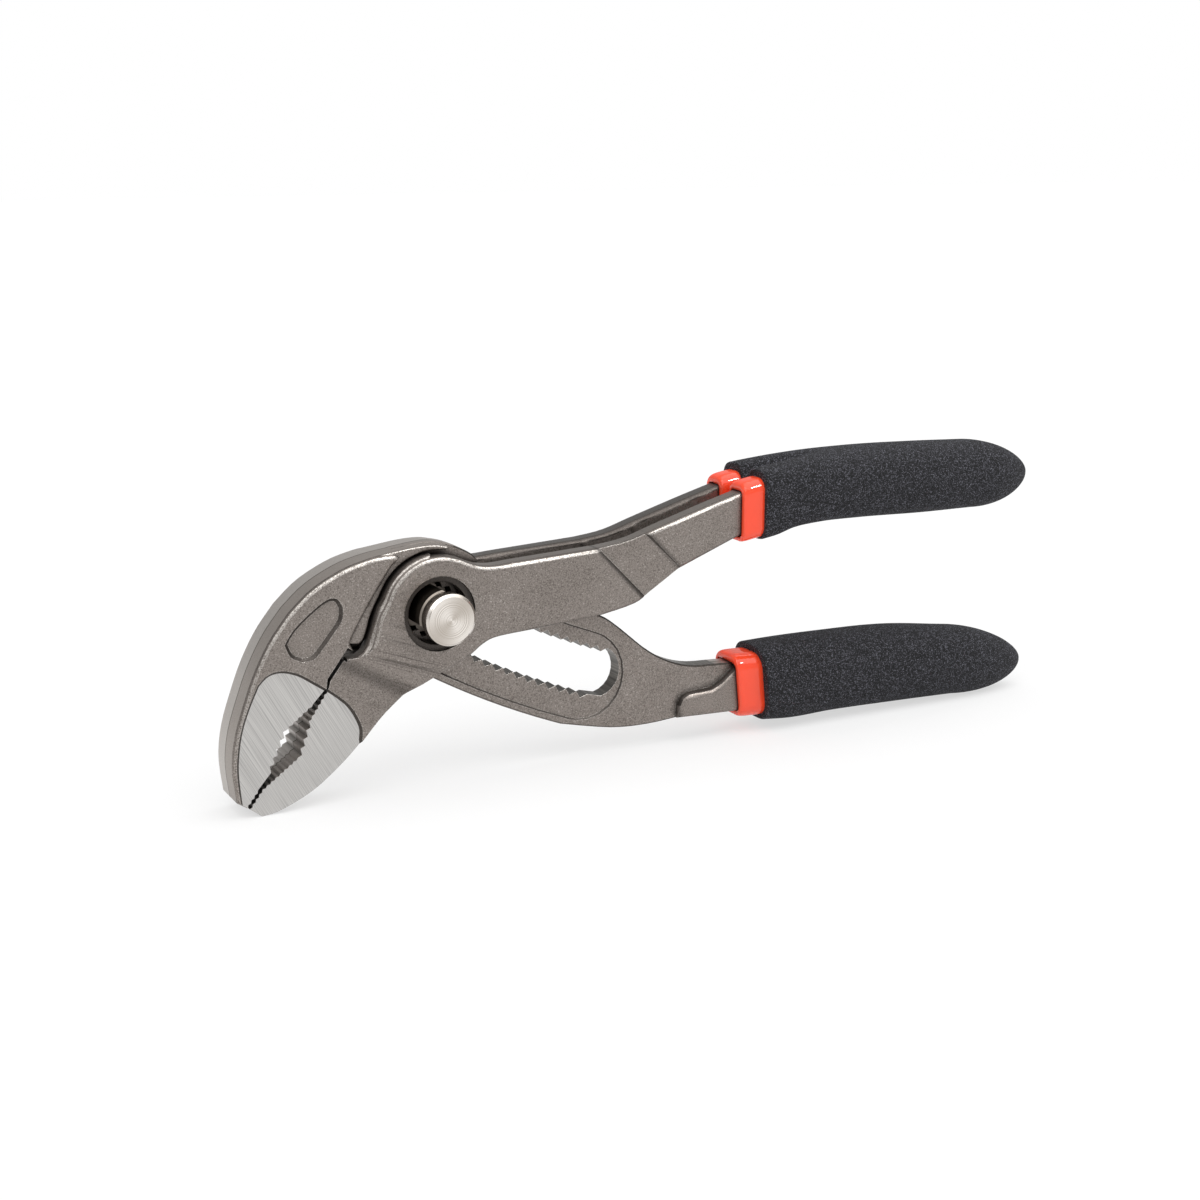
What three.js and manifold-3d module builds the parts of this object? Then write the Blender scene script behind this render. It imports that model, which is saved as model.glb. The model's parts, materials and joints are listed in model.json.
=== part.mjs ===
// Push-button adjustable pliers with a box joint, standing on edge with the jaws closed.
// Millimetres. +X runs from the jaws to the handles, +Z is up and the button faces -Y.
// Every outline is drawn in the XZ plane with the pivot pin's axis at its origin.

import * as THREE from 'three';
import { mergeVertices } from 'three/addons/utils/BufferGeometryUtils.js';
import Module from 'manifold-3d';

const wasm = await Module();
wasm.setup();

const degrees = THREE.MathUtils.degToRad;

// Thickness of the forgings, across the tool
const CHEEK_GAP = 4.6;
const CHEEK_THICKNESS = 4.1;
const JAW_THICKNESS = 9.8;
const GROUND_DEPTH = 0.5;
const POCKET_DEPTH = 0.3;
const TANG_THICKNESS = 7.2;
const LEG_RECESS_DEPTH = 0.5;
const PEBBLE_DEPTH = 0.6;
const FORGED_ROUND = 0.8;
const TANG_ROUND = 1.2;
const SHOULDER_DROP = 0.7;

// Fits
const RUNNING_GAP = 0.3;
const SLEEVE_GAP = 0.3;
const BORE_CLEARANCE = 0.8;
const JAW_GAP = 0.4;

// Toothed slot, an arc that the pin travels along
const SLOT_ARC_RADIUS = 171.5;
const SLOT_TILT = degrees(32.9);
const SLOT_HALF_WIDTH = 4.45;
const SLOT_LENGTH = 44;
const TOOTH_PITCH = 2.4;
const TOOTH_HEIGHT = 0.95;
const BAND_ABOVE = 11.1;
const BAND_BELOW = 11.4;
const POCKET_ABOVE = 7.9;
const POCKET_BELOW = 10.1;

// Pivot pin, button and spring
const BOSS_RADIUS = 10.8;
const SKIRT_WIDTH = 0.5;
const SKIRT_DROP = 0.6;
const NECK_RADIUS = 14.7;
const STEM_RADIUS = 5.2;
const STEM_HALF_FLATS = 3.8;
const TOOTHED_RADIUS = 5.8;
const TOOTHED_LENGTH = 1.4;
const COUNTERBORE_WIDTH = 1.1;
const COUNTERBORE_DEPTH = 0.8;
const TAIL_RADIUS = 2.6;
const REAR_WALL = 0.8;
const WASHER_THICKNESS = 0.3;
const RING_THICKNESS = 0.6;
const RING_WIDTH = 2.2;
const BUTTON_RADIUS = 4.9;
const BUTTON_HEIGHT = 2.4;
const BUTTON_STANDS_OUT = 5.5;
const BUTTON_BEVEL = 0.5;
const SPIGOT_RADIUS = 3;
const SPRING_WIRE = 0.5;
const SPRING_TURNS = 2;

// Jaw teeth
const NOSE = [-37.3, -32.3];
const JAW_LINE_ANGLE = degrees(52.7);
const COARSE_TOOTH = 0.7;
const JAW_STEP = 0.65;
const JAW_STEP_GAP = 0.7;
const FINE_TOOTH = 0.28;

// Handles
const LEG_TAPER_START = 60;
const LEG_TAPER_END = 130;
const LEG_HALF_SPREAD = 6.95;
const LEG_END_HALF_SPREAD = 4.2;
const LEG_JOIN_START = 84;
const COLLAR_WALL = 1;
const COLLAR_RIM = 0.8;
const GRIP_GROOVE = 3.4;
const GRIP_GROOVE_LENGTH = 19;
const GRIP_GROOVE_HALF_WIDTH = 1.6;

const cheekInner = CHEEK_GAP / 2;
const cheekOuter = cheekInner + CHEEK_THICKNESS;
const webHalf = cheekInner - RUNNING_GAP;
const jawHalf = JAW_THICKNESS / 2;
const tangHalf = TANG_THICKNESS / 2;
const boreRadius = STEM_RADIUS + BORE_CLEARANCE;
const pocketRadius = TOOTHED_RADIUS + RUNNING_GAP;
const BEYOND = 60;

// Forms

const vector = ([x, z]) => new THREE.Vector2(x, z);

/** A closed outline of straight and curved runs, each run going on from the last point. */
function outline(start, ...runs) {
  const shape = new THREE.Shape();
  shape.moveTo(...start);
  for (const [kind, ...points] of runs) {
    if (kind === 'curve') {
      shape.splineThru(points.map(vector));
    } else {
      points.forEach((point) => shape.lineTo(...point));
    }
  }
  return shape;
}

const polygon = (points) => new THREE.Shape(points.map(vector));

function disc(radius, x = 0, z = 0) {
  return new THREE.Shape().absarc(x, z, radius, 0, 2 * Math.PI);
}

/** A three.js geometry as a solid that can be joined and cut. */
function solid(geometry) {
  const bare = new THREE.BufferGeometry();
  bare.setAttribute('position', geometry.getAttribute('position'));
  bare.setIndex(geometry.getIndex());
  const merged = mergeVertices(bare, 1e-4);
  const corners = Array.from(merged.getIndex().array);
  const triangles = [];
  for (let i = 0; i < corners.length; i += 3) {
    const [a, b, c] = corners.slice(i, i + 3);
    if (a !== b && b !== c && c !== a) {
      triangles.push(a, b, c);
    }
  }
  const mesh = new wasm.Mesh({
    numProp: 3,
    vertProperties: Float32Array.from(merged.getAttribute('position').array),
    triVerts: Uint32Array.from(triangles),
  });
  return new wasm.Manifold(mesh);
}

/** An XZ outline as a plate between two Y planes, its edges rounded, or bevelled in one step. */
function plate(shape, front, back, round = 0, steps = 2) {
  const geometry = new THREE.ExtrudeGeometry(shape, {
    depth: back - front - 2 * round,
    curveSegments: 3,
    bevelEnabled: round > 0,
    bevelThickness: round,
    bevelSize: round,
    bevelOffset: -round,
    bevelSegments: steps,
  });
  geometry.rotateX(Math.PI / 2);
  geometry.translate(0, back - round, 0);
  return solid(geometry);
}

/** A round plate or bore about the pin's axis. */
function drum(radius, front, back) {
  const shape = disc(radius);
  const geometry = new THREE.ExtrudeGeometry(shape, {
    depth: back - front,
    curveSegments: 20,
    bevelEnabled: false,
  });
  geometry.rotateX(Math.PI / 2);
  geometry.translate(0, back, 0);
  return solid(geometry);
}

/** A turned piece about the pin's axis, from points of radius and place along Y. */
function turned(profile, segments = 40) {
  return solid(new THREE.LatheGeometry(profile.map(vector), segments));
}

const join = (...solids) => solids.reduce((whole, piece) => whole.add(piece));
const cut = (whole, ...tools) => tools.reduce((left, tool) => left.subtract(tool), whole);

/** A recess tool for the front and the rear face, with sloping walls. */
function bothFaces(shape, face, depth) {
  return join(
    plate(shape, -face - BEYOND, -face + depth, depth, 1),
    plate(shape, face - depth, face + BEYOND, depth, 1),
  );
}

// Slot arc: along is measured from the pin at rest, across is positive above the arc

const arcCentre = [
  SLOT_ARC_RADIUS * Math.sin(SLOT_TILT),
  SLOT_ARC_RADIUS * Math.cos(SLOT_TILT),
];

function onArc(along, across) {
  const angle = SLOT_TILT - along / SLOT_ARC_RADIUS;
  const radius = SLOT_ARC_RADIUS - across;
  return [
    arcCentre[0] - radius * Math.sin(angle),
    arcCentre[1] - radius * Math.cos(angle),
  ];
}

/** Points of a concentric run at one height above or below the slot's arc. */
function arcRun(from, to, across, steps) {
  return Array.from({ length: steps + 1 }, (_, i) =>
    onArc(from + ((to - from) * i) / steps, across),
  );
}

/** One row of slot teeth: a tip at every whole pitch and a root halfway to the next. */
function toothRow(first, last, side, tip, root) {
  const row = [];
  for (let n = first; n <= last; n += 1) {
    row.push(onArc(n * TOOTH_PITCH, side * tip));
    if (n < last) {
      row.push(onArc((n + 0.5) * TOOTH_PITCH, side * root));
    }
  }
  return row;
}

/** A round end of the slot about a point on its arc. */
function slotEnd(along, across, radius, from, to, steps) {
  return Array.from({ length: steps + 1 }, (_, i) => {
    const turn = from + ((to - from) * i) / steps;
    return onArc(along + radius * Math.cos(turn), across + radius * Math.sin(turn));
  });
}

const slotRoot = SLOT_HALF_WIDTH + TOOTH_HEIGHT;
const farEndRadius = slotRoot - 0.2;
const slotTeeth = Math.floor((SLOT_LENGTH - farEndRadius) / TOOTH_PITCH);
const slotShape = polygon([
  onArc(-1.5 * TOOTH_PITCH, slotRoot),
  ...toothRow(-1, slotTeeth, 1, SLOT_HALF_WIDTH, slotRoot),
  ...slotEnd(SLOT_LENGTH - farEndRadius, 0.3, farEndRadius, degrees(80), degrees(-58), 10),
  ...toothRow(-1, slotTeeth, -1, SLOT_HALF_WIDTH, slotRoot).reverse(),
  onArc(-1.5 * TOOTH_PITCH, -slotRoot),
  ...slotEnd(0, 0, pocketRadius, degrees(-131), degrees(-229), 8),
]);

const pocketEnd = (POCKET_ABOVE + POCKET_BELOW) / 2;
const pocketMiddle = (POCKET_ABOVE - POCKET_BELOW) / 2;
const pocketShape = polygon([
  ...arcRun(-4, SLOT_LENGTH + 1.2 - pocketEnd, POCKET_ABOVE, 6),
  ...slotEnd(
    SLOT_LENGTH + 1.2 - pocketEnd, pocketMiddle, pocketEnd, degrees(80), degrees(-80), 10,
  ),
  ...arcRun(SLOT_LENGTH + 1.2 - pocketEnd, -4, -POCKET_BELOW, 6),
]);

// Jaw teeth: u runs along the jaw line from the nose, v points to the upper jaw

function onJaw([u, v]) {
  const [cos, sin] = [Math.cos(JAW_LINE_ANGLE), Math.sin(JAW_LINE_ANGLE)];
  return [NOSE[0] + u * cos - v * sin, NOSE[1] + u * sin + v * cos];
}

/** A flank of teeth from one point towards another, each cut to the given depth in v. */
function toothFlank(from, to, count, depth) {
  const points = [];
  for (let i = 0; i < count; i += 1) {
    for (const [step, drop] of [[i, 0], [i + 0.5, depth]]) {
      const t = step / count;
      points.push([
        from[0] + (to[0] - from[0]) * t,
        from[1] + (to[1] - from[1]) * t + drop,
      ]);
    }
  }
  return points;
}

const half = JAW_GAP / 2;
const lowerJawLine = [
  [-4, -half],
  ...toothFlank([0, -half], [4.2, -half], 4, -FINE_TOOTH),
  ...toothFlank([4.2, -half], [12.3, -2.65], 8, -FINE_TOOTH),
  ...toothFlank([12.3, -2.65], [19, -0.55], 4, -COARSE_TOOTH),
  ...toothFlank([19, -0.55], [25.6, -half], 6, -FINE_TOOTH),
  [25.6, -half],
  [27.2, JAW_STEP - half],
  [32.4, JAW_STEP - half],
];
const upperJawLine = [
  [-4, half],
  ...toothFlank([0, half], [4.2, half], 4, FINE_TOOTH),
  [7.6, half],
  ...toothFlank([7.6, half], [15.8, 2.1], 5, COARSE_TOOTH),
  ...toothFlank([15.8, 2.1], [22.6, half], 6, FINE_TOOTH),
  [25.6, half],
  [27.2, JAW_STEP - half + JAW_STEP_GAP],
  [34, JAW_STEP - half + JAW_STEP_GAP],
];
const aboveLowerJaw = polygon([...lowerJawLine, [32.4, 30], [-4, 30]].map(onJaw));
const belowUpperJaw = polygon([...upperJawLine, [34, -30], [-4, -30]].map(onJaw));

// Outer half: lower jaw, two cheeks and two legs that run into the upper grip

const legTop = [[65.5, 17.2], [80, 18.7], [120, 18.2]];
const legUnder = [[120, 11.6], [80, 10.2], [64.2, 8]];
const tangTip = [124, 14.9];
const outerOutline = outline(
  [-34.9, -34.2],
  ['curve', [-31.3, -33.6], [-25, -30.8], [-19.4, -26.6], [-15.6, -23], [-11.4, -18.5], [-7.2, -15]],
  ['curve', [-2.3, -12.7], [1.5, -11], [6, -8.9], [8.6, -7.1], [11.6, -6], [18.5, -5.5]],
  ['line', [34, -4.4]],
  ['curve', [41, -3], [44.5, -1], [51, 3]],
  ['line', ...legUnder.toReversed(), tangTip, ...legTop.toReversed()],
  ['curve', [57.8, 15.1], [46.5, 11.8], [39.8, 9.8], [33.5, 9]],
  ['line', [15, 8.1]],
  ['curve', [11, 7.9], [7.8, 8.4], polar(BOSS_RADIUS, 66)],
  ['curve', ...[82, 98, 114, 130, 146, 162].map((angle) => polar(BOSS_RADIUS, angle))],
  ['curve', [-11.8, 0.6], [-12.6, -2.3], [-13.5, -4.9], [-15.3, -6.9], [-17.8, -7.3]],
  ['line', onJaw([31.7, 1.4]), onJaw([26, 1.4]), onJaw([14, 0.6]), onJaw([0, 0.8])],
);

function polar(radius, angle) {
  return [radius * Math.cos(degrees(angle)), radius * Math.sin(degrees(angle))];
}

// The boss's wider foot, next to the upper jaw
const skirtRadius = BOSS_RADIUS + SKIRT_WIDTH;
const skirtOutline = outline(
  polar(skirtRadius, 96),
  ['line', ...[104, 112, 120, 128, 136, 144, 152, 160].map((angle) => polar(skirtRadius, angle))],
  ['line', [-11.6, 2.4], [-12.4, 0.2], [-13.2, -2.2], [-14, -4.3]],
  ['line', [-14.8, -5.6], [-16, -6.4], [-17.9, -6.6]],
  ['line', [-17.9, -9], [-9, -8], [-2, 6]],
);

// The neck between the cheeks stays outside the sweep of the inner half's web.
const neckOutline = outline(
  [-34.9, -34.2],
  ['curve', [-31.3, -33.6], [-25, -30.8], [-19.4, -26.6], [-15.6, -23], [-11.4, -18.5], [-7.2, -15]],
  ['line', polar(NECK_RADIUS, 243)],
  ['curve', ...[236, 229, 222, 215, 208].map((angle) => polar(NECK_RADIUS, angle))],
  ['line', [-15.2, -6.9], [-17.8, -7.3]],
  ['line', onJaw([31.7, 1.4]), onJaw([26, 1.4]), onJaw([14, 0.6]), onJaw([0, 0.8])],
);

/** The slope from a cheek down to the thinner jaw, as the tool that cuts it on one face. */
function neckSlope(side) {
  const crease = [-12.7, -10.9];
  const slopeLength = 5.5;
  const towardsPin = new THREE.Vector3(0.507, 0, 0.862);
  const acrossTool = new THREE.Vector3(0, 1, 0);
  const section = polygon([
    [-BEYOND, side * jawHalf],
    [0, side * jawHalf],
    [slopeLength, side * cheekOuter],
    [slopeLength, side * BEYOND],
    [-BEYOND, side * BEYOND],
  ]);
  const geometry = new THREE.ExtrudeGeometry(section, { depth: 2 * BEYOND, bevelEnabled: false });
  geometry.translate(0, 0, -BEYOND);
  const along = new THREE.Vector3().crossVectors(towardsPin, acrossTool);
  const placed = new THREE.Matrix4().makeBasis(towardsPin, acrossTool, along);
  placed.setPosition(crease[0], 0, crease[1]);
  geometry.applyMatrix4(placed);
  return solid(geometry);
}

/** The two legs draw together along the upper grip: their outer faces, seen from above. */
function legTaper(margin) {
  const shape = polygon([
    [-BEYOND, -BEYOND],
    [LEG_TAPER_START, -BEYOND],
    [LEG_TAPER_START, -LEG_HALF_SPREAD - margin],
    [LEG_TAPER_END, -LEG_END_HALF_SPREAD - margin],
    [LEG_TAPER_END, LEG_END_HALF_SPREAD + margin],
    [LEG_TAPER_START, LEG_HALF_SPREAD + margin],
    [LEG_TAPER_START, BEYOND],
    [-BEYOND, BEYOND],
  ]);
  const geometry = new THREE.ExtrudeGeometry(shape, { depth: 2 * BEYOND, bevelEnabled: false });
  geometry.translate(0, 0, -BEYOND);
  return solid(geometry);
}

/** The tang that joins the two legs inside the grip, with a margin all round. */
function legJoin(margin) {
  const at = ([a, b]) => THREE.MathUtils.mapLinear(LEG_JOIN_START, a[0], b[0], a[1], b[1]);
  const [top, under] = [legTop[2], legUnder[0]];
  const shape = polygon([
    [LEG_JOIN_START - margin, at(legTop.slice(1)) + margin],
    [top[0], top[1] + margin],
    [tangTip[0] + 2 * margin, tangTip[1]],
    [under[0], under[1] - margin],
    [LEG_JOIN_START - margin, at(legUnder.slice(0, 2)) - margin],
  ]);
  return plate(shape, -cheekInner - 1, cheekInner + 1);
}

const groundLower = outline(
  onJaw([-6, 8]),
  ['line', onJaw([25.6, 8]), [-21.6, -11.9]],
  ['curve', [-19.5, -13.6], [-17.6, -15.5], [-16.2, -17.8], [-15.3, -20.3], [-15.4, -22.4]],
  ['line', [-14, -40], [-44, -40]],
);
const legRecess = polygon([[32.2, 9.6], [43.6, -2.6], [52, 2.4], [43.4, 11.4]]);

function makeOuterHalf() {
  const skirtFace = cheekOuter - SKIRT_DROP;
  const cheeks = join(
    plate(outerOutline, -cheekOuter, -cheekInner, FORGED_ROUND),
    plate(outerOutline, cheekInner, cheekOuter, FORGED_ROUND),
    plate(skirtOutline, -skirtFace, -cheekInner, FORGED_ROUND),
    plate(skirtOutline, cheekInner, skirtFace, FORGED_ROUND),
  );
  const neck = plate(neckOutline, -cheekInner - 1, cheekInner + 1);
  const body = cut(
    join(cheeks, neck, legJoin(0)),
    neckSlope(-1),
    neckSlope(1),
    plate(aboveLowerJaw, -BEYOND, BEYOND),
    bothFaces(groundLower, jawHalf, GROUND_DEPTH),
    bothFaces(legRecess, cheekOuter, LEG_RECESS_DEPTH),
    drum(boreRadius, -BEYOND, 0),
    drum(boreRadius + COUNTERBORE_WIDTH, -BEYOND, -cheekOuter + COUNTERBORE_DEPTH),
    drum(pocketRadius, 0, cheekOuter - REAR_WALL),
    drum(TAIL_RADIUS + RUNNING_GAP, 0, BEYOND),
  );
  return body.intersect(legTaper(0));
}

// Inner half: upper jaw, web with the toothed slot, and the lower handle's tang

const upperJawOutline = outline(
  onJaw([0, -1.5]),
  ['line', [-39.4, -31]],
  ['curve', [-40, -24.5], [-39.2, -18.5], [-37.1, -12.1], [-34.9, -6.7], [-32, -1.5], [-28.4, 3.1]],
  ['curve', [-24, 6.9], [-18.2, 9.9], [-13.3, 11.3], [-10.3, 11.7], [-8, 11.7]],
  ['line', [-6.9, 11.1], [-7.8, 10]],
  ['curve', [-8.6, 9.4], [-10.4, 6.8], [-12.4, 3.9], [-13.7, 1.9], [-15.6, -1.2], [-17, -3.9]],
  ['line', onJaw([33.4, -1.5])],
);
const tangTop = [[62, -18.9], [75, -19.6], [116, -21.6]];
const tangUnder = [[116, -28.4], [75, -29.6], [64, -29.3]];
const lowerTangTip = [121, -25.4];
const webOutline = outline(
  [-19, 2],
  ['line', [-15, 10], [-7.5, 12.2]],
  ['curve', [-3.4, 12.7], [0.6, 12.8], [4.6, 11.7], [8.9, 9.3], onArc(5, BAND_ABOVE)],
  ['line', ...arcRun(8, 31, BAND_ABOVE, 8)],
  ['curve', [36.2, -5.8], [40, -8.6], [46.1, -13.8], [51.4, -16.9], [56.6, -18.5], tangTop[0]],
  ['line', ...tangTop.slice(1), lowerTangTip, ...tangUnder, [54, -28.9]],
  ['curve', [46.2, -29.4], [38, -28.9], onArc(35, -BAND_BELOW)],
  ['line', ...arcRun(33, -9, -BAND_BELOW, 12)],
);
// A lower step beside the jaw block that follows the boss's foot over its top
const shoulderRadius = skirtRadius + 1.3 * RUNNING_GAP;
const shoulderTop = [[3, 125], [1.4, 106], [0.9, 89], [0.65, 76]];
const shoulderOutline = outline(
  [-20, 0],
  ['line', [-18.2, 9.8]],
  ['curve', [-13.3, 11.3], ...shoulderTop.map(([width, angle]) => polar(shoulderRadius + width, angle))],
  ['line', polar(shoulderRadius, 78)],
  ['curve', ...[94, 110, 126, 142, 157].map((angle) => polar(shoulderRadius, angle))],
  ['curve', [-12.75, 0.8], [-13.6, -2], [-14.4, -3.8]],
  ['line', [-15.2, -4.4], [-18, -4]],
);
const barOutline = outline(
  [52.9, -28.9],
  ['line', [52.9, -26.2], [53.7, -24.6], [55.3, -23.8], [60.4, -23.6], [62.8, -22.6], [67, -19.2]],
  ['line', ...tangTop.slice(1), lowerTangTip, ...tangUnder],
);
const groundUpper = outline(
  onJaw([-6, -8]),
  ['line', onJaw([25.6, -8]), [-21.9, -11.8]],
  ['curve', [-24.3, -10.1], [-27, -8.3], [-30.1, -7.3], [-32.8, -7.7], [-34.8, -9.4]],
  ['curve', [-36.8, -13.6], [-38.3, -17.8], [-39.1, -22.2], [-39.3, -26], [-38.9, -31.4]],
  ['line', [-44, -40]],
);
const pebble = outline(
  [-29.5, -2.6],
  ['curve', [-27.8, -0.1], [-24.7, 2.6], [-21.5, 4.7], [-19.4, 4.8], [-18.3, 3]],
  ['curve', [-18.6, 0.6], [-20.4, -1.8], [-22.3, -4.1], [-24.1, -5.9], [-26.2, -6.2]],
  ['curve', [-28.4, -5], [-29.5, -2.6]],
);

function makeInnerHalf() {
  const body = join(
    plate(upperJawOutline, -jawHalf, jawHalf, FORGED_ROUND),
    plate(shoulderOutline, SHOULDER_DROP - jawHalf, jawHalf - SHOULDER_DROP, RUNNING_GAP),
    plate(webOutline, -webHalf, webHalf, RUNNING_GAP),
    plate(barOutline, -tangHalf, tangHalf, TANG_ROUND),
  );
  return cut(
    body,
    bothFaces(pocketShape, webHalf, POCKET_DEPTH).subtract(
      plate(upperJawOutline, -BEYOND, BEYOND),
    ),
    plate(slotShape, -BEYOND, BEYOND),
    plate(belowUpperJaw, -BEYOND, BEYOND),
    bothFaces(groundUpper, jawHalf, GROUND_DEPTH),
    plate(pebble, -BEYOND, -jawHalf + PEBBLE_DEPTH, PEBBLE_DEPTH, 1),
  );
}

// Pivot pin with its button, spring, washer and retaining ring

const toothedBack = webHalf - POCKET_DEPTH + 0.2;
const toothedFront = toothedBack - TOOTHED_LENGTH;
const buttonFace = -cheekOuter - BUTTON_STANDS_OUT;
const stemFront = buttonFace + BUTTON_HEIGHT + RUNNING_GAP;
const washerFront = cheekOuter - REAR_WALL - RUNNING_GAP - WASHER_THICKNESS;
const ringFront = cheekOuter + RUNNING_GAP;
const grooveRadius = TAIL_RADIUS - 0.5;
const tailEnd = ringFront + RING_THICKNESS + 2 * RUNNING_GAP;

/** A bar along the slot whose two long sides are flat or toothed, through the whole tool. */
function slotBar(upper, lower) {
  return plate(polygon([...upper, ...lower.toReversed()]), -BEYOND, BEYOND);
}

function makePin() {
  const flats = slotBar(
    arcRun(-9, 9, STEM_HALF_FLATS, 1),
    arcRun(-9, 9, -STEM_HALF_FLATS, 1),
  );
  const flankGap = 1.25 * RUNNING_GAP;
  const tip = slotRoot - flankGap;
  const root = SLOT_HALF_WIDTH - flankGap;
  const teeth = slotBar(toothRow(-4, 4, 1, root, tip), toothRow(-4, 4, -1, root, tip));
  const stem = turned([
    [0, stemFront],
    [STEM_RADIUS - 0.3, stemFront],
    [STEM_RADIUS, stemFront + 0.3],
    [STEM_RADIUS, toothedFront + 0.2],
    [0, toothedFront + 0.2],
  ]);
  const block = drum(TOOTHED_RADIUS, toothedFront, toothedBack);
  const spigot = drum(SPIGOT_RADIUS, stemFront - BUTTON_HEIGHT / 2, stemFront + 0.5);
  const tail = turned([
    [0, toothedBack - 0.5],
    [TAIL_RADIUS, toothedBack - 0.5],
    [TAIL_RADIUS, ringFront - RUNNING_GAP],
    [grooveRadius, ringFront - RUNNING_GAP],
    [grooveRadius, ringFront + RING_THICKNESS + RUNNING_GAP],
    [TAIL_RADIUS, ringFront + RING_THICKNESS + RUNNING_GAP],
    [TAIL_RADIUS - 0.3, tailEnd],
    [0, tailEnd],
  ], 24);
  return join(stem.intersect(flats), block.intersect(teeth), spigot, tail);
}

function makeButton() {
  const cap = turned([
    [0, buttonFace],
    [BUTTON_RADIUS - BUTTON_BEVEL, buttonFace],
    [BUTTON_RADIUS, buttonFace + BUTTON_BEVEL],
    [BUTTON_RADIUS, buttonFace + BUTTON_HEIGHT],
    [0, buttonFace + BUTTON_HEIGHT],
  ], 40);
  const socketEnd = stemFront - BUTTON_HEIGHT / 2 - RUNNING_GAP;
  return cap.subtract(drum(SPIGOT_RADIUS + RUNNING_GAP, socketEnd, 0));
}

class SpringPath extends THREE.Curve {
  constructor(radius, start, end, turns) {
    super();
    Object.assign(this, { radius, start, end, turns });
  }

  getPoint(t) {
    const angle = 2 * Math.PI * this.turns * t;
    return new THREE.Vector3(
      this.radius * Math.cos(angle),
      THREE.MathUtils.lerp(this.start, this.end, t),
      this.radius * Math.sin(angle),
    );
  }
}

const springStart = toothedBack + RUNNING_GAP + SPRING_WIRE / 2;
const springEnd = washerFront - RUNNING_GAP - SPRING_WIRE / 2;
const springRadius = (TAIL_RADIUS + pocketRadius) / 2;

function makeSpring() {
  const path = new SpringPath(springRadius, springStart, springEnd, SPRING_TURNS);
  const wire = polygon(Array.from({ length: 6 }, (_, i) => polar(SPRING_WIRE / 2, 60 * i)));
  const gap = (springEnd - springStart) / SPRING_TURNS - SPRING_WIRE;
  console.log(`spring gap between turns ${gap.toFixed(2)} mm`);
  return solid(new THREE.ExtrudeGeometry(wire, {
    steps: 18 * SPRING_TURNS,
    extrudePath: path,
    bevelEnabled: false,
  }));
}

function makeWasher() {
  const washer = drum(TOOTHED_RADIUS, washerFront, washerFront + WASHER_THICKNESS);
  return washer.subtract(drum(TAIL_RADIUS + RUNNING_GAP, 0, BEYOND));
}

function makeRing() {
  const inner = grooveRadius + RUNNING_GAP;
  const ring = drum(inner + RING_WIDTH, ringFront, ringFront + RING_THICKNESS);
  const mouth = polygon([[0, 0], polar(20, 62), polar(20, 118)]);
  return cut(ring, drum(inner, 0, BEYOND), plate(mouth, 0, BEYOND));
}

// Collars and grips

/** The upper handle's legs with a margin all round, to clear sleeves and the grip. */
function legsWithMargin(margin, inner, outer) {
  const shape = polygon([
    [50, 12.8 + margin],
    ...legTop.map(([x, z]) => [x, z + 1.05 * margin]),
    [tangTip[0] + 2 * margin, tangTip[1]],
    ...legUnder.map(([x, z]) => [x, z - 1.05 * margin]),
    [50, 2.4 - margin],
  ]);
  return join(plate(shape, -outer, -inner), plate(shape, inner, outer));
}

/**
 * A short tube along X: a rounded rectangle across the tool with soft rims.
 * Its faces may slope up along X, and its rims may lean along X towards the top.
 */
function sleeve(from, to, [front, under], [back, top], corner, slope, lean) {
  const shape = new THREE.Shape();
  shape.absarc(front + corner, top - corner, corner, Math.PI / 2, Math.PI);
  shape.absarc(front + corner, under + corner, corner, Math.PI, 1.5 * Math.PI);
  shape.absarc(back - corner, under + corner, corner, 1.5 * Math.PI, 2 * Math.PI);
  shape.absarc(back - corner, top - corner, corner, 0, Math.PI / 2);
  const geometry = new THREE.ExtrudeGeometry(shape, {
    depth: to - from - 2 * COLLAR_RIM,
    curveSegments: 4,
    bevelThickness: COLLAR_RIM,
    bevelSize: COLLAR_RIM,
    bevelOffset: -COLLAR_RIM,
    bevelSegments: 2,
  });
  const middle = (under + top) / 2;
  const start = from + COLLAR_RIM;
  geometry.applyMatrix4(new THREE.Matrix4().set(
    0, lean, 1, start - lean * middle,
    1, 0, 0, 0,
    0, 1, slope, slope * (start - (from + to) / 2),
    0, 0, 0, 1,
  ));
  return solid(geometry);
}

function makeLegCollar(side) {
  const inner = cheekInner - SLEEVE_GAP;
  const outer = cheekOuter + SLEEVE_GAP;
  const faces = [side * (inner - COLLAR_WALL), side * (outer + COLLAR_WALL)];
  const tube = sleeve(
    64.9, 69.2, [Math.min(...faces), 7.1], [Math.max(...faces), 19.4], 2.8, 0.16, 0,
  );
  return tube.subtract(legsWithMargin(SLEEVE_GAP, inner, outer));
}

function tangWithMargin(margin) {
  const shape = polygon([
    [50, tangTop[0][1] + 2.2 + margin],
    ...tangTop.map(([x, z]) => [x, z + margin]),
    [lowerTangTip[0] + 2 * margin, lowerTangTip[1]],
    ...tangUnder.map(([x, z]) => [x, z - margin]),
    [50, -29.3 - margin],
  ]);
  return plate(shape, -tangHalf - margin, tangHalf + margin, TANG_ROUND);
}

function makeLowerCollar() {
  const outer = tangHalf + SLEEVE_GAP + COLLAR_WALL;
  const tube = sleeve(66.3, 71.7, [-outer, -31], [outer, -17.3], 4.2, -0.04, -0.1);
  return tube.subtract(tangWithMargin(SLEEVE_GAP));
}

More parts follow.
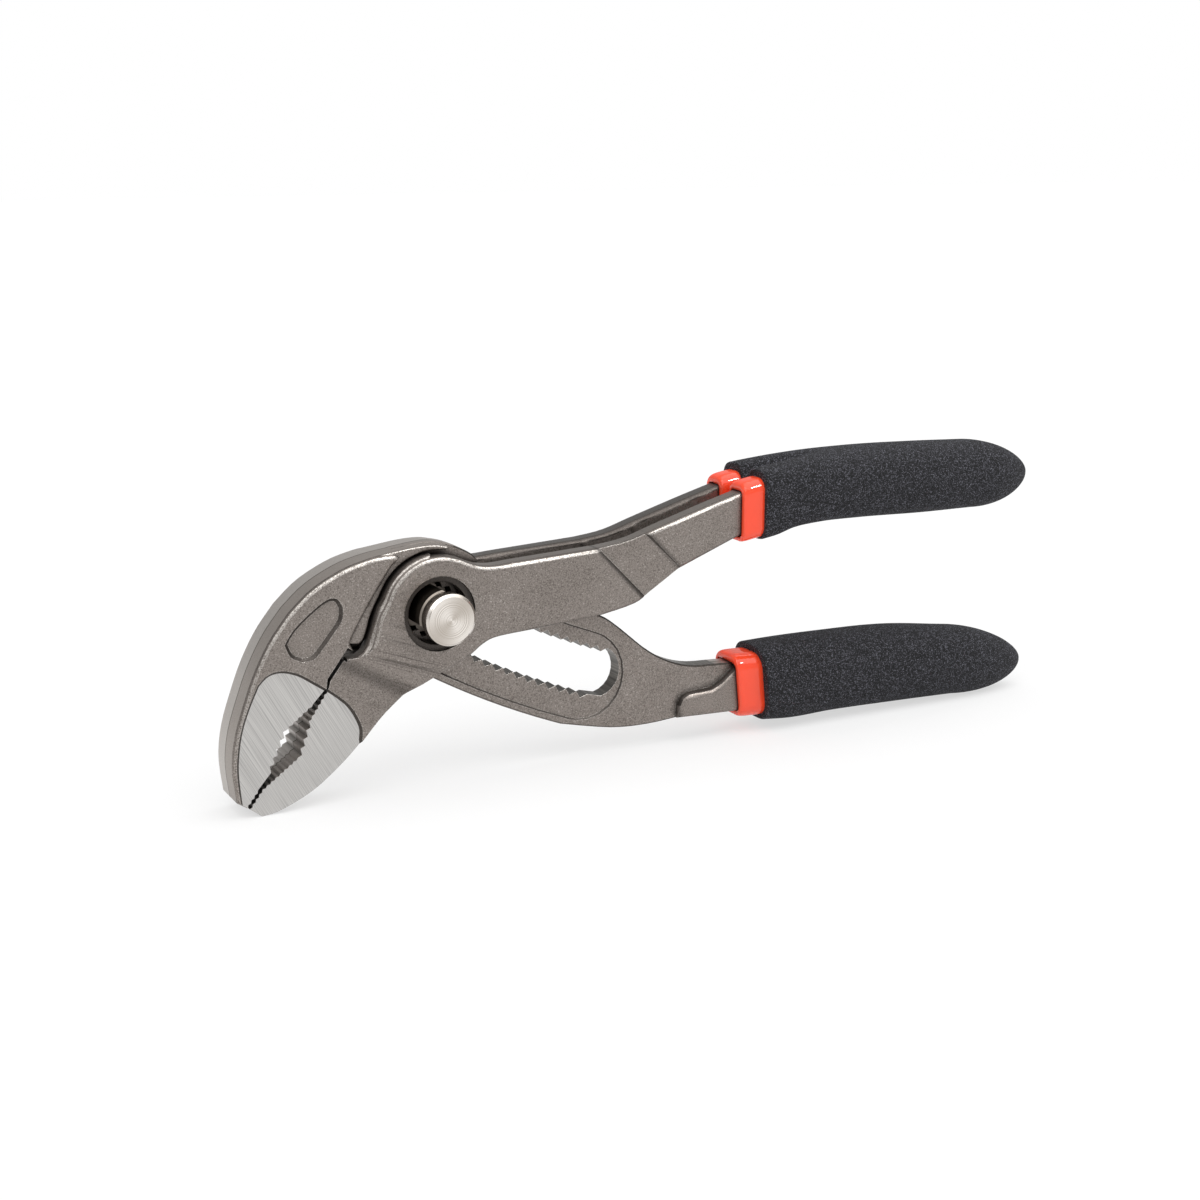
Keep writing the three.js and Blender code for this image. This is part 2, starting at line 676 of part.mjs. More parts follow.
/**
 * A dipped grip: soft sections strung along X from its mouth, closed by a rounded tip.
 * A station holds x, the centre's z, half the height, half the width, roundness and lean.
 */
function gripBody(stations, tipLength, tipDrop, groove) {
  const spline = (pick) =>
    new THREE.CatmullRomCurve3(stations.map((station) => new THREE.Vector3(...pick(station))));
  const place = spline(([x, z, height]) => [x, z, height]);
  const form = spline(([, , , width, roundness, lean]) => [width, roundness, lean]);
  const steps = 3 * (stations.length - 1);
  const sections = [];
  for (let step = 0; step <= steps; step += 1) {
    const { x, y: centre, z: height } = place.getPoint(step / steps);
    const { x: width, y: roundness, z: lean } = form.getPoint(step / steps);
    sections.push({ x, centre, height, width, roundness, lean });
  }
  const end = sections.at(-1);
  for (const angle of [18, 34, 48, 60, 70, 79]) {
    const [along, left] = [Math.sin(degrees(angle)), Math.cos(degrees(angle))];
    sections.push({
      ...end,
      x: end.x + tipLength * along,
      centre: end.centre + tipDrop * along,
      height: end.height * left,
      width: end.width * left,
    });
  }
  const sides = 28;
  const mouth = sections[0].x;
  const rings = sections.map(({ x, centre, height, width, roundness, lean }) => {
    const fade = groove * Math.max(0, 1 - (x - mouth) / GRIP_GROOVE_LENGTH);
    return Array.from({ length: sides }, (_, side) => {
      const angle = (2 * Math.PI * (side + 0.5)) / sides;
      const [cos, sin] = [Math.cos(angle), Math.sin(angle)];
      const y = width * Math.sign(cos) * Math.abs(cos) ** roundness;
      const dip = fade * Math.exp(-((y / GRIP_GROOVE_HALF_WIDTH) ** 2));
      const z = Math.sign(sin) * (height * Math.abs(sin) ** roundness - dip);
      return new THREE.Vector3(x - lean * z, y, centre + z);
    });
  });
  const index = [];
  for (let ring = 0; ring < rings.length - 1; ring += 1) {
    for (let side = 0; side < sides; side += 1) {
      const [a, b] = [side, (side + 1) % sides].map((corner) => ring * sides + corner);
      index.push(a, b, a + sides, b, b + sides, a + sides);
    }
  }
  const cap = (ring) =>
    THREE.ShapeUtils.triangulateShape(ring.map(({ y, z }) => new THREE.Vector2(y, z)), []);
  const last = (rings.length - 1) * sides;
  cap(rings[0]).forEach(([a, b, c]) => index.push(c, b, a));
  cap(rings.at(-1)).forEach(([a, b, c]) => index.push(last + a, last + b, last + c));
  const geometry = new THREE.BufferGeometry().setFromPoints(rings.flat());
  geometry.setIndex(index);
  return solid(geometry);
}

const upperGripStations = [
  [69.5, 13.95, 7.15, 8.6, 0.36, 0],
  [73, 14.4, 7.1, 8.75, 0.4, 0],
  [77, 15.1, 6.9, 8.7, 0.48, 0],
  [84, 15.65, 7.05, 8.5, 0.62, 0],
  [95, 15.75, 7.35, 8.1, 0.75, 0],
  [112, 15.3, 7.45, 7.7, 0.78, 0],
  [127, 15.2, 6.7, 7, 0.82, 0],
];
const lowerGripStations = [
  [72, -24.2, 8, 6.7, 0.65, 0.1],
  [78, -24.4, 8.4, 6.9, 0.7, 0.08],
  [90, -24.4, 8.4, 6.8, 0.75, 0],
  [107, -24.9, 8.3, 6.8, 0.78, 0],
  [122, -26.1, 7.6, 6.6, 0.82, 0],
];

function makeUpperGrip() {
  const legs = join(
    legsWithMargin(SLEEVE_GAP, cheekInner - SLEEVE_GAP, cheekOuter + SLEEVE_GAP),
    legJoin(SLEEVE_GAP),
  ).intersect(legTaper(SLEEVE_GAP));
  return gripBody(upperGripStations, 14.6, -0.9, GRIP_GROOVE).subtract(legs);
}

function makeLowerGrip() {
  return gripBody(lowerGripStations, 20.6, -2.4, 0).subtract(tangWithMargin(SLEEVE_GAP));
}

// Scene graph

const forged = { color: 0x7f7873, metalness: 0.9, roughness: 0.55 };
const nickel = { color: 0xdcd6d0, metalness: 1, roughness: 0.22 };
const springSteel = { color: 0x8a8a8c, metalness: 1, roughness: 0.35 };
const redVinyl = { color: 0xff4a2a, metalness: 0, roughness: 0.3 };
const blackFoam = { color: 0x29292c, metalness: 0, roughness: 0.85 };

function node(name, body, finish) {
  const { vertProperties, triVerts } = body.getMesh();
  const geometry = new THREE.BufferGeometry();
  geometry.setAttribute('position', new THREE.Float32BufferAttribute(vertProperties, 3));
  geometry.setIndex(Array.from(triVerts));
  geometry.computeVertexNormals();
  const mesh = new THREE.Mesh(geometry, new THREE.MeshStandardMaterial(finish));
  mesh.name = name;
  return mesh;
}

const innerAssembly = new THREE.Group();
innerAssembly.add(
  node('inner_half', makeInnerHalf(), forged),
  node('lower_handle_collar', makeLowerCollar(), redVinyl),
  node('lower_grip', makeLowerGrip(), blackFoam),
);

const outerAssembly = new THREE.Group();
outerAssembly.add(
  node('outer_half', makeOuterHalf(), forged),
  node('front_leg_collar', makeLegCollar(-1), redVinyl),
  node('rear_leg_collar', makeLegCollar(1), redVinyl),
  node('upper_grip', makeUpperGrip(), blackFoam),
);

const pinAssembly = new THREE.Group();
pinAssembly.add(
  node('pivot_pin', makePin(), springSteel),
  node('push_button', makeButton(), nickel),
  node('retaining_ring', makeRing(), springSteel),
  node('pin_spring', makeSpring(), springSteel),
  node('spring_washer', makeWasher(), springSteel),
);

const pliers = new THREE.Group();
pliers.add(innerAssembly, outerAssembly, pinAssembly);

// The pliers stand on the plane z = 0, centred over the origin.
const box = new THREE.Box3().setFromObject(pliers);
const middle = box.getCenter(new THREE.Vector3());
pliers.position.set(-middle.x, -middle.y, -box.min.z);

export default pliers;
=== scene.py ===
"""Push-button adjustable pliers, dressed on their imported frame.

Every length that ends in _mm is a real size in millimetres. Places are measured from the
pivot pin's axis, midway between the two cheeks: x to the handles, y to the rear, z up.
"""

import json
import logging
import math
from dataclasses import dataclass
from enum import Enum
from typing import Any

import bmesh
import bpy
import numpy as np
from bpy.types import Material, Mesh, Node, NodeTree, Object
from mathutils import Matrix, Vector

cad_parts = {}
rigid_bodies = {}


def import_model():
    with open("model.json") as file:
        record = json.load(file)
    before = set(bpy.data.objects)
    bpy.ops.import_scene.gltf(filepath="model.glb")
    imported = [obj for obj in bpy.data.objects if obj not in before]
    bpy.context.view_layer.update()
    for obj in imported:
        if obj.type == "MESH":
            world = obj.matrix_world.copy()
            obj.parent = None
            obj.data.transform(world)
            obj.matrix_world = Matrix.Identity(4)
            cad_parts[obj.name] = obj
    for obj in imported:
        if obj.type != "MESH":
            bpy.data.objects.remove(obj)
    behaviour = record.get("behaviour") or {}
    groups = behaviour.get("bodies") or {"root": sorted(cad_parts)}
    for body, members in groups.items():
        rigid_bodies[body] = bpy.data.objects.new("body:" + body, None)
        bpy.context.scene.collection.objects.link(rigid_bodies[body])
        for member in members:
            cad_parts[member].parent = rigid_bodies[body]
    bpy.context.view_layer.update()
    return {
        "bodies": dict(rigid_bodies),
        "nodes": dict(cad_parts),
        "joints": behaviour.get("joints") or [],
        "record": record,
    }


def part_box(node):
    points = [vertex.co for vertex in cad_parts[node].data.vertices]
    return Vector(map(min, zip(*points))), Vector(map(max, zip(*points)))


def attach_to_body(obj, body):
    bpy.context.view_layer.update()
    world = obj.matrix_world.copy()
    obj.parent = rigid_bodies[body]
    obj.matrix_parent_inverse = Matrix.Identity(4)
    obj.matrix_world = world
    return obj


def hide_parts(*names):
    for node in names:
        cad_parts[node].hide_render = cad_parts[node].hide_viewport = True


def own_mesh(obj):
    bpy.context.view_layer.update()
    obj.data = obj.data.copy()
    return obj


LOG = logging.getLogger("pliers")
MM = 0.001
EDGE_HIGHLIGHT_ATTRIBUTE = "rubbed"
FLANK = "flank"
SHADE_ATTRIBUTE = "soiled"
WELD_MM = 0.002
TINY = 1e-9
Array = np.ndarray
Frame = dict[str, Any]
Spot = tuple[float, float, float]

# The y of a forging's normal says what a face is: a flat side, a flank, one of the two facets
# of a rounded edge, such a facet between the cheeks, or a recess's sloping wall.
FLAT_FROM = 0.99
FLANK_TO = 0.3
SIDE_FACET = (0.85, 0.94)
FLANK_FACET = (0.3, 0.6)
INSIDE_FACETS = (-0.95, -0.3)
WALL_SLOPE = math.sqrt(0.5)
WALL_SLACK = 0.03


class Body(Enum):
    """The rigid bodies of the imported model."""

    INNER = "inner"
    OUTER = "outer"
    PIN = "pin"
    CARRIER = "carrier"


class Slot(Enum):
    """The record's material slots."""

    FORGED = "forged_steel"
    PIN_STEEL = "pin_steel"
    NICKEL = "nickel"
    VINYL = "red_vinyl"
    FOAM = "black_foam"


def linear(hex_colour: str) -> tuple[float, float, float, float]:
    """Turn an sRGB hex colour to linear light.

    Args:
        hex_colour: six hex digits after a hash sign.

    Returns:
        Red, green, blue and an alpha of one.
    """
    srgb = np.array([int(hex_colour[i:i + 2], 16) for i in (1, 3, 5)]) / 255.0
    light = np.where(srgb <= 0.04045, srgb / 12.92, ((srgb + 0.055) / 1.055) ** 2.4)
    return (*light.tolist(), 1.0)


def add_node(
    tree: NodeTree,
    kind: str,
    inputs: dict[str | int, Any] | None = None,
    **settings: Any,
) -> Node:
    """Add a shader node with its settings, socket values and links.

    Args:
        tree: the node tree that gets the node.
        kind: the node's type name without its ShaderNode prefix.
        inputs: socket name or number to a value, or to a node and its output as a pair.
        settings: attributes of the node, such as operation.

    Returns:
        The new node.
    """
    node = tree.nodes.new("ShaderNode" + kind)
    for name, value in settings.items():
        setattr(node, name, value)
    for key, value in (inputs or {}).items():
        if isinstance(value, tuple) and isinstance(value[0], Node):
            tree.links.new(value[0].outputs[value[1]], node.inputs[key])
        else:
            node.inputs[key].default_value = value
    return node


def new_material(name: str) -> Material:
    """Make an empty material with a node tree.

    Args:
        name: what the real material is.

    Returns:
        The material, still without nodes.
    """
    material = bpy.data.materials.new(name)
    material.use_nodes = True
    material.node_tree.nodes.clear()
    return material


def per_metre(size_mm: float) -> float:
    """Turn a pattern's real size in millimetres to a texture scale for metres."""
    return 1.0 / (size_mm * MM)


def set_ramp(node: Node, stops: dict[float, str]) -> Node:
    """Give a colour ramp its stops.

    Args:
        node: a colour ramp node.
        stops: place along the ramp to sRGB hex colour.

    Returns:
        The same node.
    """
    elements = node.color_ramp.elements
    while len(elements) < len(stops):
        elements.new(0.5)
    for element, (place, colour) in zip(elements, sorted(stops.items())):
        element.position = place
        element.color = linear(colour)
    return node


def drawn_lines(
    tree: NodeTree, place: Node, sizes_mm: Spot, angle_deg: float, detail: float,
) -> Node:
    """Build noise drawn out to lines, as a cutter or a grinding belt leaves them.

    Args:
        tree: the material's nodes.
        place: the texture coordinates.
        sizes_mm: the lines' sizes along x, y and z before they turn, where 0 is endless.
        angle_deg: how far they turn about the y axis.
        detail: how many finer layers the noise has.

    Returns:
        The noise.
    """
    turn = add_node(tree, "Mapping", {
        "Vector": (place, "Object"), "Rotation": (0.0, math.radians(angle_deg), 0.0),
    })
    stretch = add_node(tree, "Mapping", {
        "Vector": (turn, 0), "Scale": tuple(per_metre(size) if size else 0.0 for size in sizes_mm),
    })
    return add_node(tree, "TexNoise", {"Vector": (stretch, 0), "Scale": 1.0, "Detail": detail})


@dataclass(frozen=True)
class Pivot:
    """The pivot pin's axis in the row frame, in metres."""

    x: float
    y: float
    z: float

    @classmethod
    def from_frame(cls) -> "Pivot":
        """Read the axis from the round button and the middle plane from the cheeks.

        Returns:
            The axis.
        """
        low, high = (np.array(corner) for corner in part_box("push_button"))
        cheek_low, cheek_high = (np.array(corner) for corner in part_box("outer_half"))
        middle = (low + high) / 2
        return cls(float(middle[0]), float((cheek_low[1] + cheek_high[1]) / 2), float(middle[2]))

    def place(self, points_mm: Array) -> Array:
        """Move points from millimetres about the pin to metres in the row frame."""
        return points_mm * MM + np.array([self.x, self.y, self.z])

    def spot(self, x_mm: float, y_mm: float, z_mm: float) -> Spot:
        """Move one point from millimetres about the pin to metres in the row frame."""
        return tuple(self.place(np.array([x_mm, y_mm, z_mm])).tolist())


@dataclass(frozen=True)
class Crease:
    """A soft dark line of painted shade where a face bends or steps: a point on it and the way across it.
    """

    point_mm: Spot
    uphill: Spot
    width_mm: float
    dark: float

    def darkness(
        self, tree: NodeTree, place: Node, pivot: Pivot,
    ) -> Node:
        """Build the nodes for a darkness that fades with the distance from the line.

        Args:
            tree: the material's nodes.
            place: the texture coordinates.
            pivot: the pin's axis.

        Returns:
            A node whose first output runs from 0 to 1.
        """
        beside = add_node(tree, "VectorMath", {
            0: (place, "Object"), 1: pivot.spot(*self.point_mm),
        }, operation="SUBTRACT")
        climb = add_node(tree, "VectorMath", {
            0: (beside, 0), 1: self.uphill,
        }, operation="DOT_PRODUCT")
        away = add_node(tree, "Math", {0: (climb, "Value")}, operation="ABSOLUTE")
        return add_node(tree, "MapRange", {
            "Value": (away, 0), "From Min": 0.0, "From Max": self.width_mm * MM,
            "To Min": self.dark, "To Max": 0.0,
        }, interpolation_type="SMOOTHSTEP")


@dataclass(frozen=True)
class MillingLines:
    """Faint lines that a cutter left on the neck."""

    middle_mm: Spot
    line_mm: float = 0.4
    run_mm: float = 25.0
    angle_deg: float = -20.0
    dark: float = 0.52
    reach_mm: float = 12.0
    full_share: float = 0.3

    def darkness(
        self, tree: NodeTree, place: Node, pivot: Pivot,
    ) -> Node:
        """Build lines along one direction, which fade away from the middle.

        Args:
            tree: the material's nodes.
            place: the texture coordinates.
            pivot: the pin's axis.

        Returns:
            A node whose first output runs from 0 to 1.
        """
        lines = drawn_lines(tree, place, (self.run_mm, 0.0, self.line_mm), self.angle_deg, 2.0)
        line = add_node(tree, "MapRange", {
            "Value": (lines, "Fac"), "From Min": 0.52, "From Max": 0.66, "To Max": self.dark,
        })
        far = add_node(tree, "VectorMath", {
            0: (place, "Object"), 1: pivot.spot(*self.middle_mm),
        }, operation="DISTANCE")
        near = add_node(tree, "MapRange", {
            "Value": (far, "Value"), "From Min": self.full_share * self.reach_mm * MM,
            "From Max": self.reach_mm * MM, "To Min": 1.0, "To Max": 0.0,
        }, interpolation_type="SMOOTHSTEP")
        return add_node(tree, "Math", {0: (line, 0), 1: (near, 0)}, operation="MULTIPLY")


@dataclass(frozen=True)
class BlastedSteel:
    """Drop-forged chrome vanadium steel, shot-blasted and dull plated.

    The eye sees a warm grey, fine sparkle from the blasting, smoother flanks where the
    flash was trimmed, painted darker on the front half and lighter on the rear half for the
    light that falls on them, painted shade in the creases and gaps, and edges with a
    painted highlight, patchy like wear.
    """

    pivot: Pivot
    marks: tuple[Crease | MillingLines, ...] = ()
    base: str = "#918983"
    dark: str = "#6a635d"
    spark: str = "#c4bdb7"
    # The flanks' tones: painted shade on the front half and painted light on the rear half, as the front
    # half faces the darker front of the studio and the rear half the brighter rear.
    flank_front_shade: str = "#a69e97"
    flank_rear_light: str = "#cec9c4"
    # A painted highlight on the rounded edges, patchy like wear.
    rubbed: str = "#dcd7d1"
    # Painted shade colour for creases, gaps and recesses; also the colour of the real milling lines.
    shade_and_marks: str = "#2c2825"
    grit_mm: float = 0.25
    cloud_mm: float = 9.0
    cloud_share: float = 0.03
    flank_share: float = 0.65
    edge_mm: float = 0.3
    parting_mm: float = 0.18
    # How far the ambient occlusion reaches, and how dark its painted shade gets.
    crease_mm: float = 1.6
    ao_shade_share: float = 0.9
    relief_mm: float = 0.08
    relief: float = 0.6
    metallic: float = 0.85
    roughness: float = 0.42

    def material(self) -> Material:
        """Build the shader: grey flats and flanks, then a painted edge highlight, then painted shade and
        marks over both.

        Returns:
            The material.
        """
        material = new_material("blasted chrome vanadium steel")
        tree = material.node_tree
        place = add_node(tree, "TexCoord")
        flank = add_node(tree, "Attribute", attribute_name=FLANK)
        grit = add_node(tree, "TexNoise", {
            "Vector": (place, "Object"), "Scale": per_metre(self.grit_mm),
            "Detail": 3.0, "Roughness": 0.65,
        })
        turned = add_node(tree, "Bevel", {"Radius": self.edge_mm * MM}, samples=6)
        colour = add_node(tree, "Mix", {
            "Factor": (self.edge_highlight_share(tree, flank, grit, turned), 0),
            "A": (self.greys(tree, place, flank, grit), "Result"), "B": linear(self.rubbed),
        }, data_type="RGBA")
        # Painted shade and marks over the colour.
        soiled = add_node(tree, "Mix", {
            "Factor": (self.soil(tree, place), 0), "A": (colour, "Result"), "B": linear(self.shade_and_marks),
        }, data_type="RGBA")
        relief = add_node(tree, "Bump", {
            "Height": (grit, "Fac"), "Normal": (turned, 0),
            "Distance": self.relief_mm * MM, "Strength": self.relief,
        })
        surface = add_node(tree, "BsdfPrincipled", {
            "Base Color": (soiled, "Result"), "Normal": (relief, 0),
            "Metallic": self.metallic, "Roughness": self.roughness,
        })
        add_node(tree, "OutputMaterial", {"Surface": (surface, 0)})
        return material

    def greys(
        self, tree: NodeTree, place: Node, flank: Node, grit: Node,
    ) -> Node:
        """Build the greys of the flats by grit and cloud, and the smoother, parted flanks, with
        painted shade on their front half and painted light on their rear half.

        Args:
            tree: the material's nodes.
            place: the texture coordinates.
            flank: the attribute that marks flanks.
            grit: the blasting's noise.

        Returns:
            A node whose Result is the colour.
        """
        cloud = add_node(tree, "TexNoise", {
            "Vector": (place, "Object"), "Scale": per_metre(self.cloud_mm), "Detail": 3.0,
        })
        uneven = add_node(tree, "MapRange", {
            "Value": (cloud, "Fac"), "From Min": 0.3, "From Max": 0.7,
            "To Min": -self.cloud_share, "To Max": self.cloud_share,
        })
        blend = add_node(tree, "Math", {0: (grit, "Fac"), 1: (uneven, 0)}, operation="ADD")
        tone = set_ramp(
            add_node(tree, "ValToRGB", {"Fac": (blend, 0)}),
            {0.35: self.dark, 0.5: self.base, 0.6: self.base, 0.72: self.spark},
        )
        smoother = add_node(tree, "Math", {
            0: (flank, "Fac"), 1: self.flank_share,
        }, operation="MULTIPLY")
        # Painted light and shade on the flanks: the front half darker, the rear half lighter.
        axes = add_node(tree, "SeparateXYZ", {0: (place, "Object")})
        behind = add_node(tree, "Math", {0: (axes, "Y"), 1: self.pivot.y}, operation="GREATER_THAN")
        flank_light_and_shade = add_node(tree, "Mix", {
            "Factor": (behind, 0), "A": linear(self.flank_front_shade), "B": linear(self.flank_rear_light),
        }, data_type="RGBA")
        trimmed = add_node(tree, "Mix", {
            "Factor": (smoother, 0), "A": (tone, "Color"), "B": (flank_light_and_shade, "Result"),
        }, data_type="RGBA")
        middle = add_node(tree, "Math", {
            0: (axes, "Y"), 1: self.pivot.y, 2: self.parting_mm * MM,
        }, operation="COMPARE")
        parting = add_node(tree, "Math", {0: (middle, 0), 1: (flank, "Fac")}, operation="MULTIPLY")
        return add_node(tree, "Mix", {
            "Factor": (parting, 0), "A": (trimmed, "Result"), "B": linear(self.dark),
        }, data_type="RGBA")

    def edge_highlight_share(
        self, tree: NodeTree, flank: Node, grit: Node, turned: Node,
    ) -> Node:
        """Build the painted edge highlight's share, patchy like wear, on crisp edges and marked facets.

        Args:
            tree: the material's nodes.
            flank: the attribute that marks flanks.
            grit: the blasting's noise, which makes the wear patchy.
            turned: the normal as an edge rounds it.

        Returns:
            A node whose first output runs from 0 to 1.
        """
        geometry = add_node(tree, "NewGeometry")
        alike = add_node(tree, "VectorMath", {
            0: (turned, 0), 1: (geometry, "Normal"),
        }, operation="DOT_PRODUCT")
        face = add_node(tree, "Math", {0: 1.0, 1: (flank, "Fac")}, operation="SUBTRACT")
        # Painted highlight on crisp edges, which the bevel normal finds, off the flanks.
        crisp = add_node(tree, "MapRange", {
            "Value": (alike, "Value"), "From Min": 0.995, "From Max": 0.88, "To Max": (face, 0),
        })
        facet = add_node(tree, "Attribute", attribute_name=EDGE_HIGHLIGHT_ATTRIBUTE)
        edge = add_node(tree, "Math", {0: (crisp, 0), 1: (facet, "Fac")}, operation="MAXIMUM")
        patchy = add_node(tree, "MapRange", {
            "Value": (grit, "Fac"), "From Min": 0.35, "From Max": 0.6,
        })
        return add_node(tree, "Math", {0: (edge, 0), 1: (patchy, 0)}, operation="MULTIPLY")

    def soil(self, tree: NodeTree, place: Node) -> Node:
        """Build the darkening: the most of painted shade in creases and gaps, painted shade on the marked
        faces, and the marks.

        Args:
            tree: the material's nodes.
            place: the texture coordinates.

        Returns:
            A node whose first output runs from 0 to 1.
        """
        # Painted shade: ambient occlusion darkens creases and the gaps between parts.
        open_air = add_node(tree, "AmbientOcclusion", {"Distance": self.crease_mm * MM}, samples=8)
        shut_crease_shade = add_node(tree, "MapRange", {
            "Value": (open_air, "AO"), "From Min": 0.93, "From Max": 0.45, "To Max": self.ao_shade_share,
        })
        soiled = add_node(tree, "Attribute", attribute_name=SHADE_ATTRIBUTE)
        shade_and_marks = add_node(tree, "Math", {0: (shut_crease_shade, 0), 1: (soiled, "Fac")}, operation="MAXIMUM")
        for mark in self.marks:
            line = mark.darkness(tree, place, self.pivot)
            shade_and_marks = add_node(tree, "Math", {0: (shade_and_marks, 0), 1: (line, 0)}, operation="MAXIMUM")
        return shade_and_marks


@dataclass(frozen=True)
class MilledSteel:
    """The slot's milled walls: steel with lines across the tool, painted darker for the shade in the slot.
    """

    # A dark grey that paints the shade inside the slot.
    base: str = "#74706b"
    line: str = "#4d4a46"
    line_mm: float = 0.4
    line_length_mm: float = 12.0
    metallic: float = 0.85
    roughness: float = 0.38

    def material(self) -> Material:
        """Build the shader: lines across the tool.

        Returns:
            The material.
        """
        material = new_material("milled slot steel")
        tree = material.node_tree
        place = add_node(tree, "TexCoord")
        sizes_mm = (self.line_mm, self.line_length_mm, self.line_mm)
        lines = drawn_lines(tree, place, sizes_mm, 0.0, 2.0)
        tone = set_ramp(
            add_node(tree, "ValToRGB", {"Fac": (lines, "Fac")}), {0.36: self.line, 0.62: self.base},
        )
        surface = add_node(tree, "BsdfPrincipled", {
            "Base Color": (tone, "Color"), "Metallic": self.metallic, "Roughness": self.roughness,
        })
        add_node(tree, "OutputMaterial", {"Surface": (surface, 0)})
        return material


@dataclass(frozen=True)
class GroundSteel:
    """The same steel ground flat on the jaws' sides.

    The eye sees bright silver with fine grinding lines square to the jaw line.
    """

    base: str = "#cbc9c6"
    line: str = "#aeacaa"
    line_mm: float = 0.14
    line_length_mm: float = 22.0
    line_angle_deg: float = -61.0
    relief_mm: float = 0.02
    relief: float = 0.4
    metallic: float = 0.95
    roughness: float = 0.34

    def material(self) -> Material:
        """Build the shader: lines along the grinding direction.

        Returns:
            The material.
        """
        material = new_material("ground jaw steel")
        tree = material.node_tree
        place = add_node(tree, "TexCoord")
        sizes_mm = (self.line_length_mm, 0.0, self.line_mm)
        lines = drawn_lines(tree, place, sizes_mm, self.line_angle_deg, 3.0)
        tone = set_ramp(
            add_node(tree, "ValToRGB", {"Fac": (lines, "Fac")}), {0.38: self.line, 0.58: self.base},
        )
        relief = add_node(tree, "Bump", {
            "Height": (lines, "Fac"), "Distance": self.relief_mm * MM, "Strength": self.relief,
        })
        surface = add_node(tree, "BsdfPrincipled", {
            "Base Color": (tone, "Color"), "Normal": (relief, 0),
            "Metallic": self.metallic, "Roughness": self.roughness,
        })
        add_node(tree, "OutputMaterial", {"Surface": (surface, 0)})
        return material


@dataclass(frozen=True)
class TurnedMetal:
    """Metal turned on a lathe, plain or nickel plated.

    The eye sees fine rings about the pin's axis and the fan-shaped sheen of a turned face,
    a painted reflection that darkens in two opposite fans.
    """

    name: str
    base: str
    ring: str
    centre: Spot
    ring_mm: float = 0.2
    relief_mm: float = 0.02
    relief: float = 0.2
    roughness: float = 0.24
    drawn_out: float = 0.7
    painted_fan_shade: float = 0.8
    painted_fan_turn_deg: float = 90.0
    metallic: float = 1.0

    def material(self) -> Material:
        """Build the shader: rings by distance from the axis, and a painted sheen by the bearing from it.

        Returns:
            The material.
        """
        material = new_material(self.name)
        tree = material.node_tree
        place = add_node(tree, "TexCoord")
        moved = add_node(tree, "Mapping", {
            "Vector": (place, "Object"), "Location": tuple(-c for c in self.centre),
        })
        flat = add_node(tree, "VectorMath", {
            0: (moved, 0), 1: (1.0, 0.0, 1.0),
        }, operation="MULTIPLY")
        radius = add_node(tree, "VectorMath", {0: (flat, 0)}, operation="LENGTH")
        round_about = add_node(tree, "VectorMath", {
            0: (flat, 0), 1: (0.0, 1.0, 0.0),
        }, operation="CROSS_PRODUCT")
        rings = add_node(tree, "TexNoise", {
            "W": (radius, "Value"), "Scale": per_metre(self.ring_mm), "Detail": 2.0,
        }, noise_dimensions="1D")
        tone = set_ramp(
            add_node(tree, "ValToRGB", {"Fac": (rings, "Fac")}), {0.25: self.ring, 0.5: self.base},
        )
        # Painted reflection: by its bearing round the axis the face darkens in two fans, like a turned
        # face's sheen.
        sides = add_node(tree, "SeparateXYZ", {0: (flat, 0)})
        bearing = add_node(tree, "Math", {0: (sides, "Z"), 1: (sides, "X")}, operation="ARCTAN2")
        twice = add_node(tree, "Math", {
            0: (bearing, 0), 1: 2.0, 2: math.radians(self.painted_fan_turn_deg),
        }, operation="MULTIPLY_ADD")
        fan = add_node(tree, "Math", {0: (twice, 0)}, operation="COSINE")
        dull = add_node(tree, "MapRange", {
            "Value": (fan, 0), "From Min": 0.9, "From Max": -1.0, "To Max": self.painted_fan_shade,
        })
        sheen = add_node(tree, "Mix", {
            "Factor": (dull, 0), "A": (tone, "Color"), "B": linear(self.ring),
        }, data_type="RGBA")
        relief = add_node(tree, "Bump", {
            "Height": (rings, "Fac"), "Distance": self.relief_mm * MM, "Strength": self.relief,
        })
        surface = add_node(tree, "BsdfPrincipled", {
            "Base Color": (sheen, "Result"), "Normal": (relief, 0),
            "Metallic": self.metallic, "Roughness": self.roughness,
            "Anisotropic": self.drawn_out, "Tangent": (round_about, 0),
        })
        add_node(tree, "OutputMaterial", {"Surface": (surface, 0)})
        return material


@dataclass(frozen=True)
class DippedVinyl:
    """Plastisol vinyl, hot-dipped: a glossy, saturated orange red with soft thickness."""

    base: str = "#ff5030"
    roughness: float = 0.07
    ior: float = 1.52
    glow_share: float = 0.12
    glow_mm: float = 1.0
    glow_rgb: Spot = (0.9, 0.3, 0.2)

    def material(self) -> Material:
        """Build the shader: one colour under a smooth skin that lets a little light in.

        Returns:
            The material.
        """
        material = new_material("dipped red vinyl")
        tree = material.node_tree
        surface = add_node(tree, "BsdfPrincipled", {
            "Base Color": linear(self.base), "Roughness": self.roughness, "IOR": self.ior,
            "Subsurface Weight": self.glow_share, "Subsurface Radius": self.glow_rgb,
            "Subsurface Scale": self.glow_mm * MM,
        })
        add_node(tree, "OutputMaterial", {"Surface": (surface, 0)})
        return material


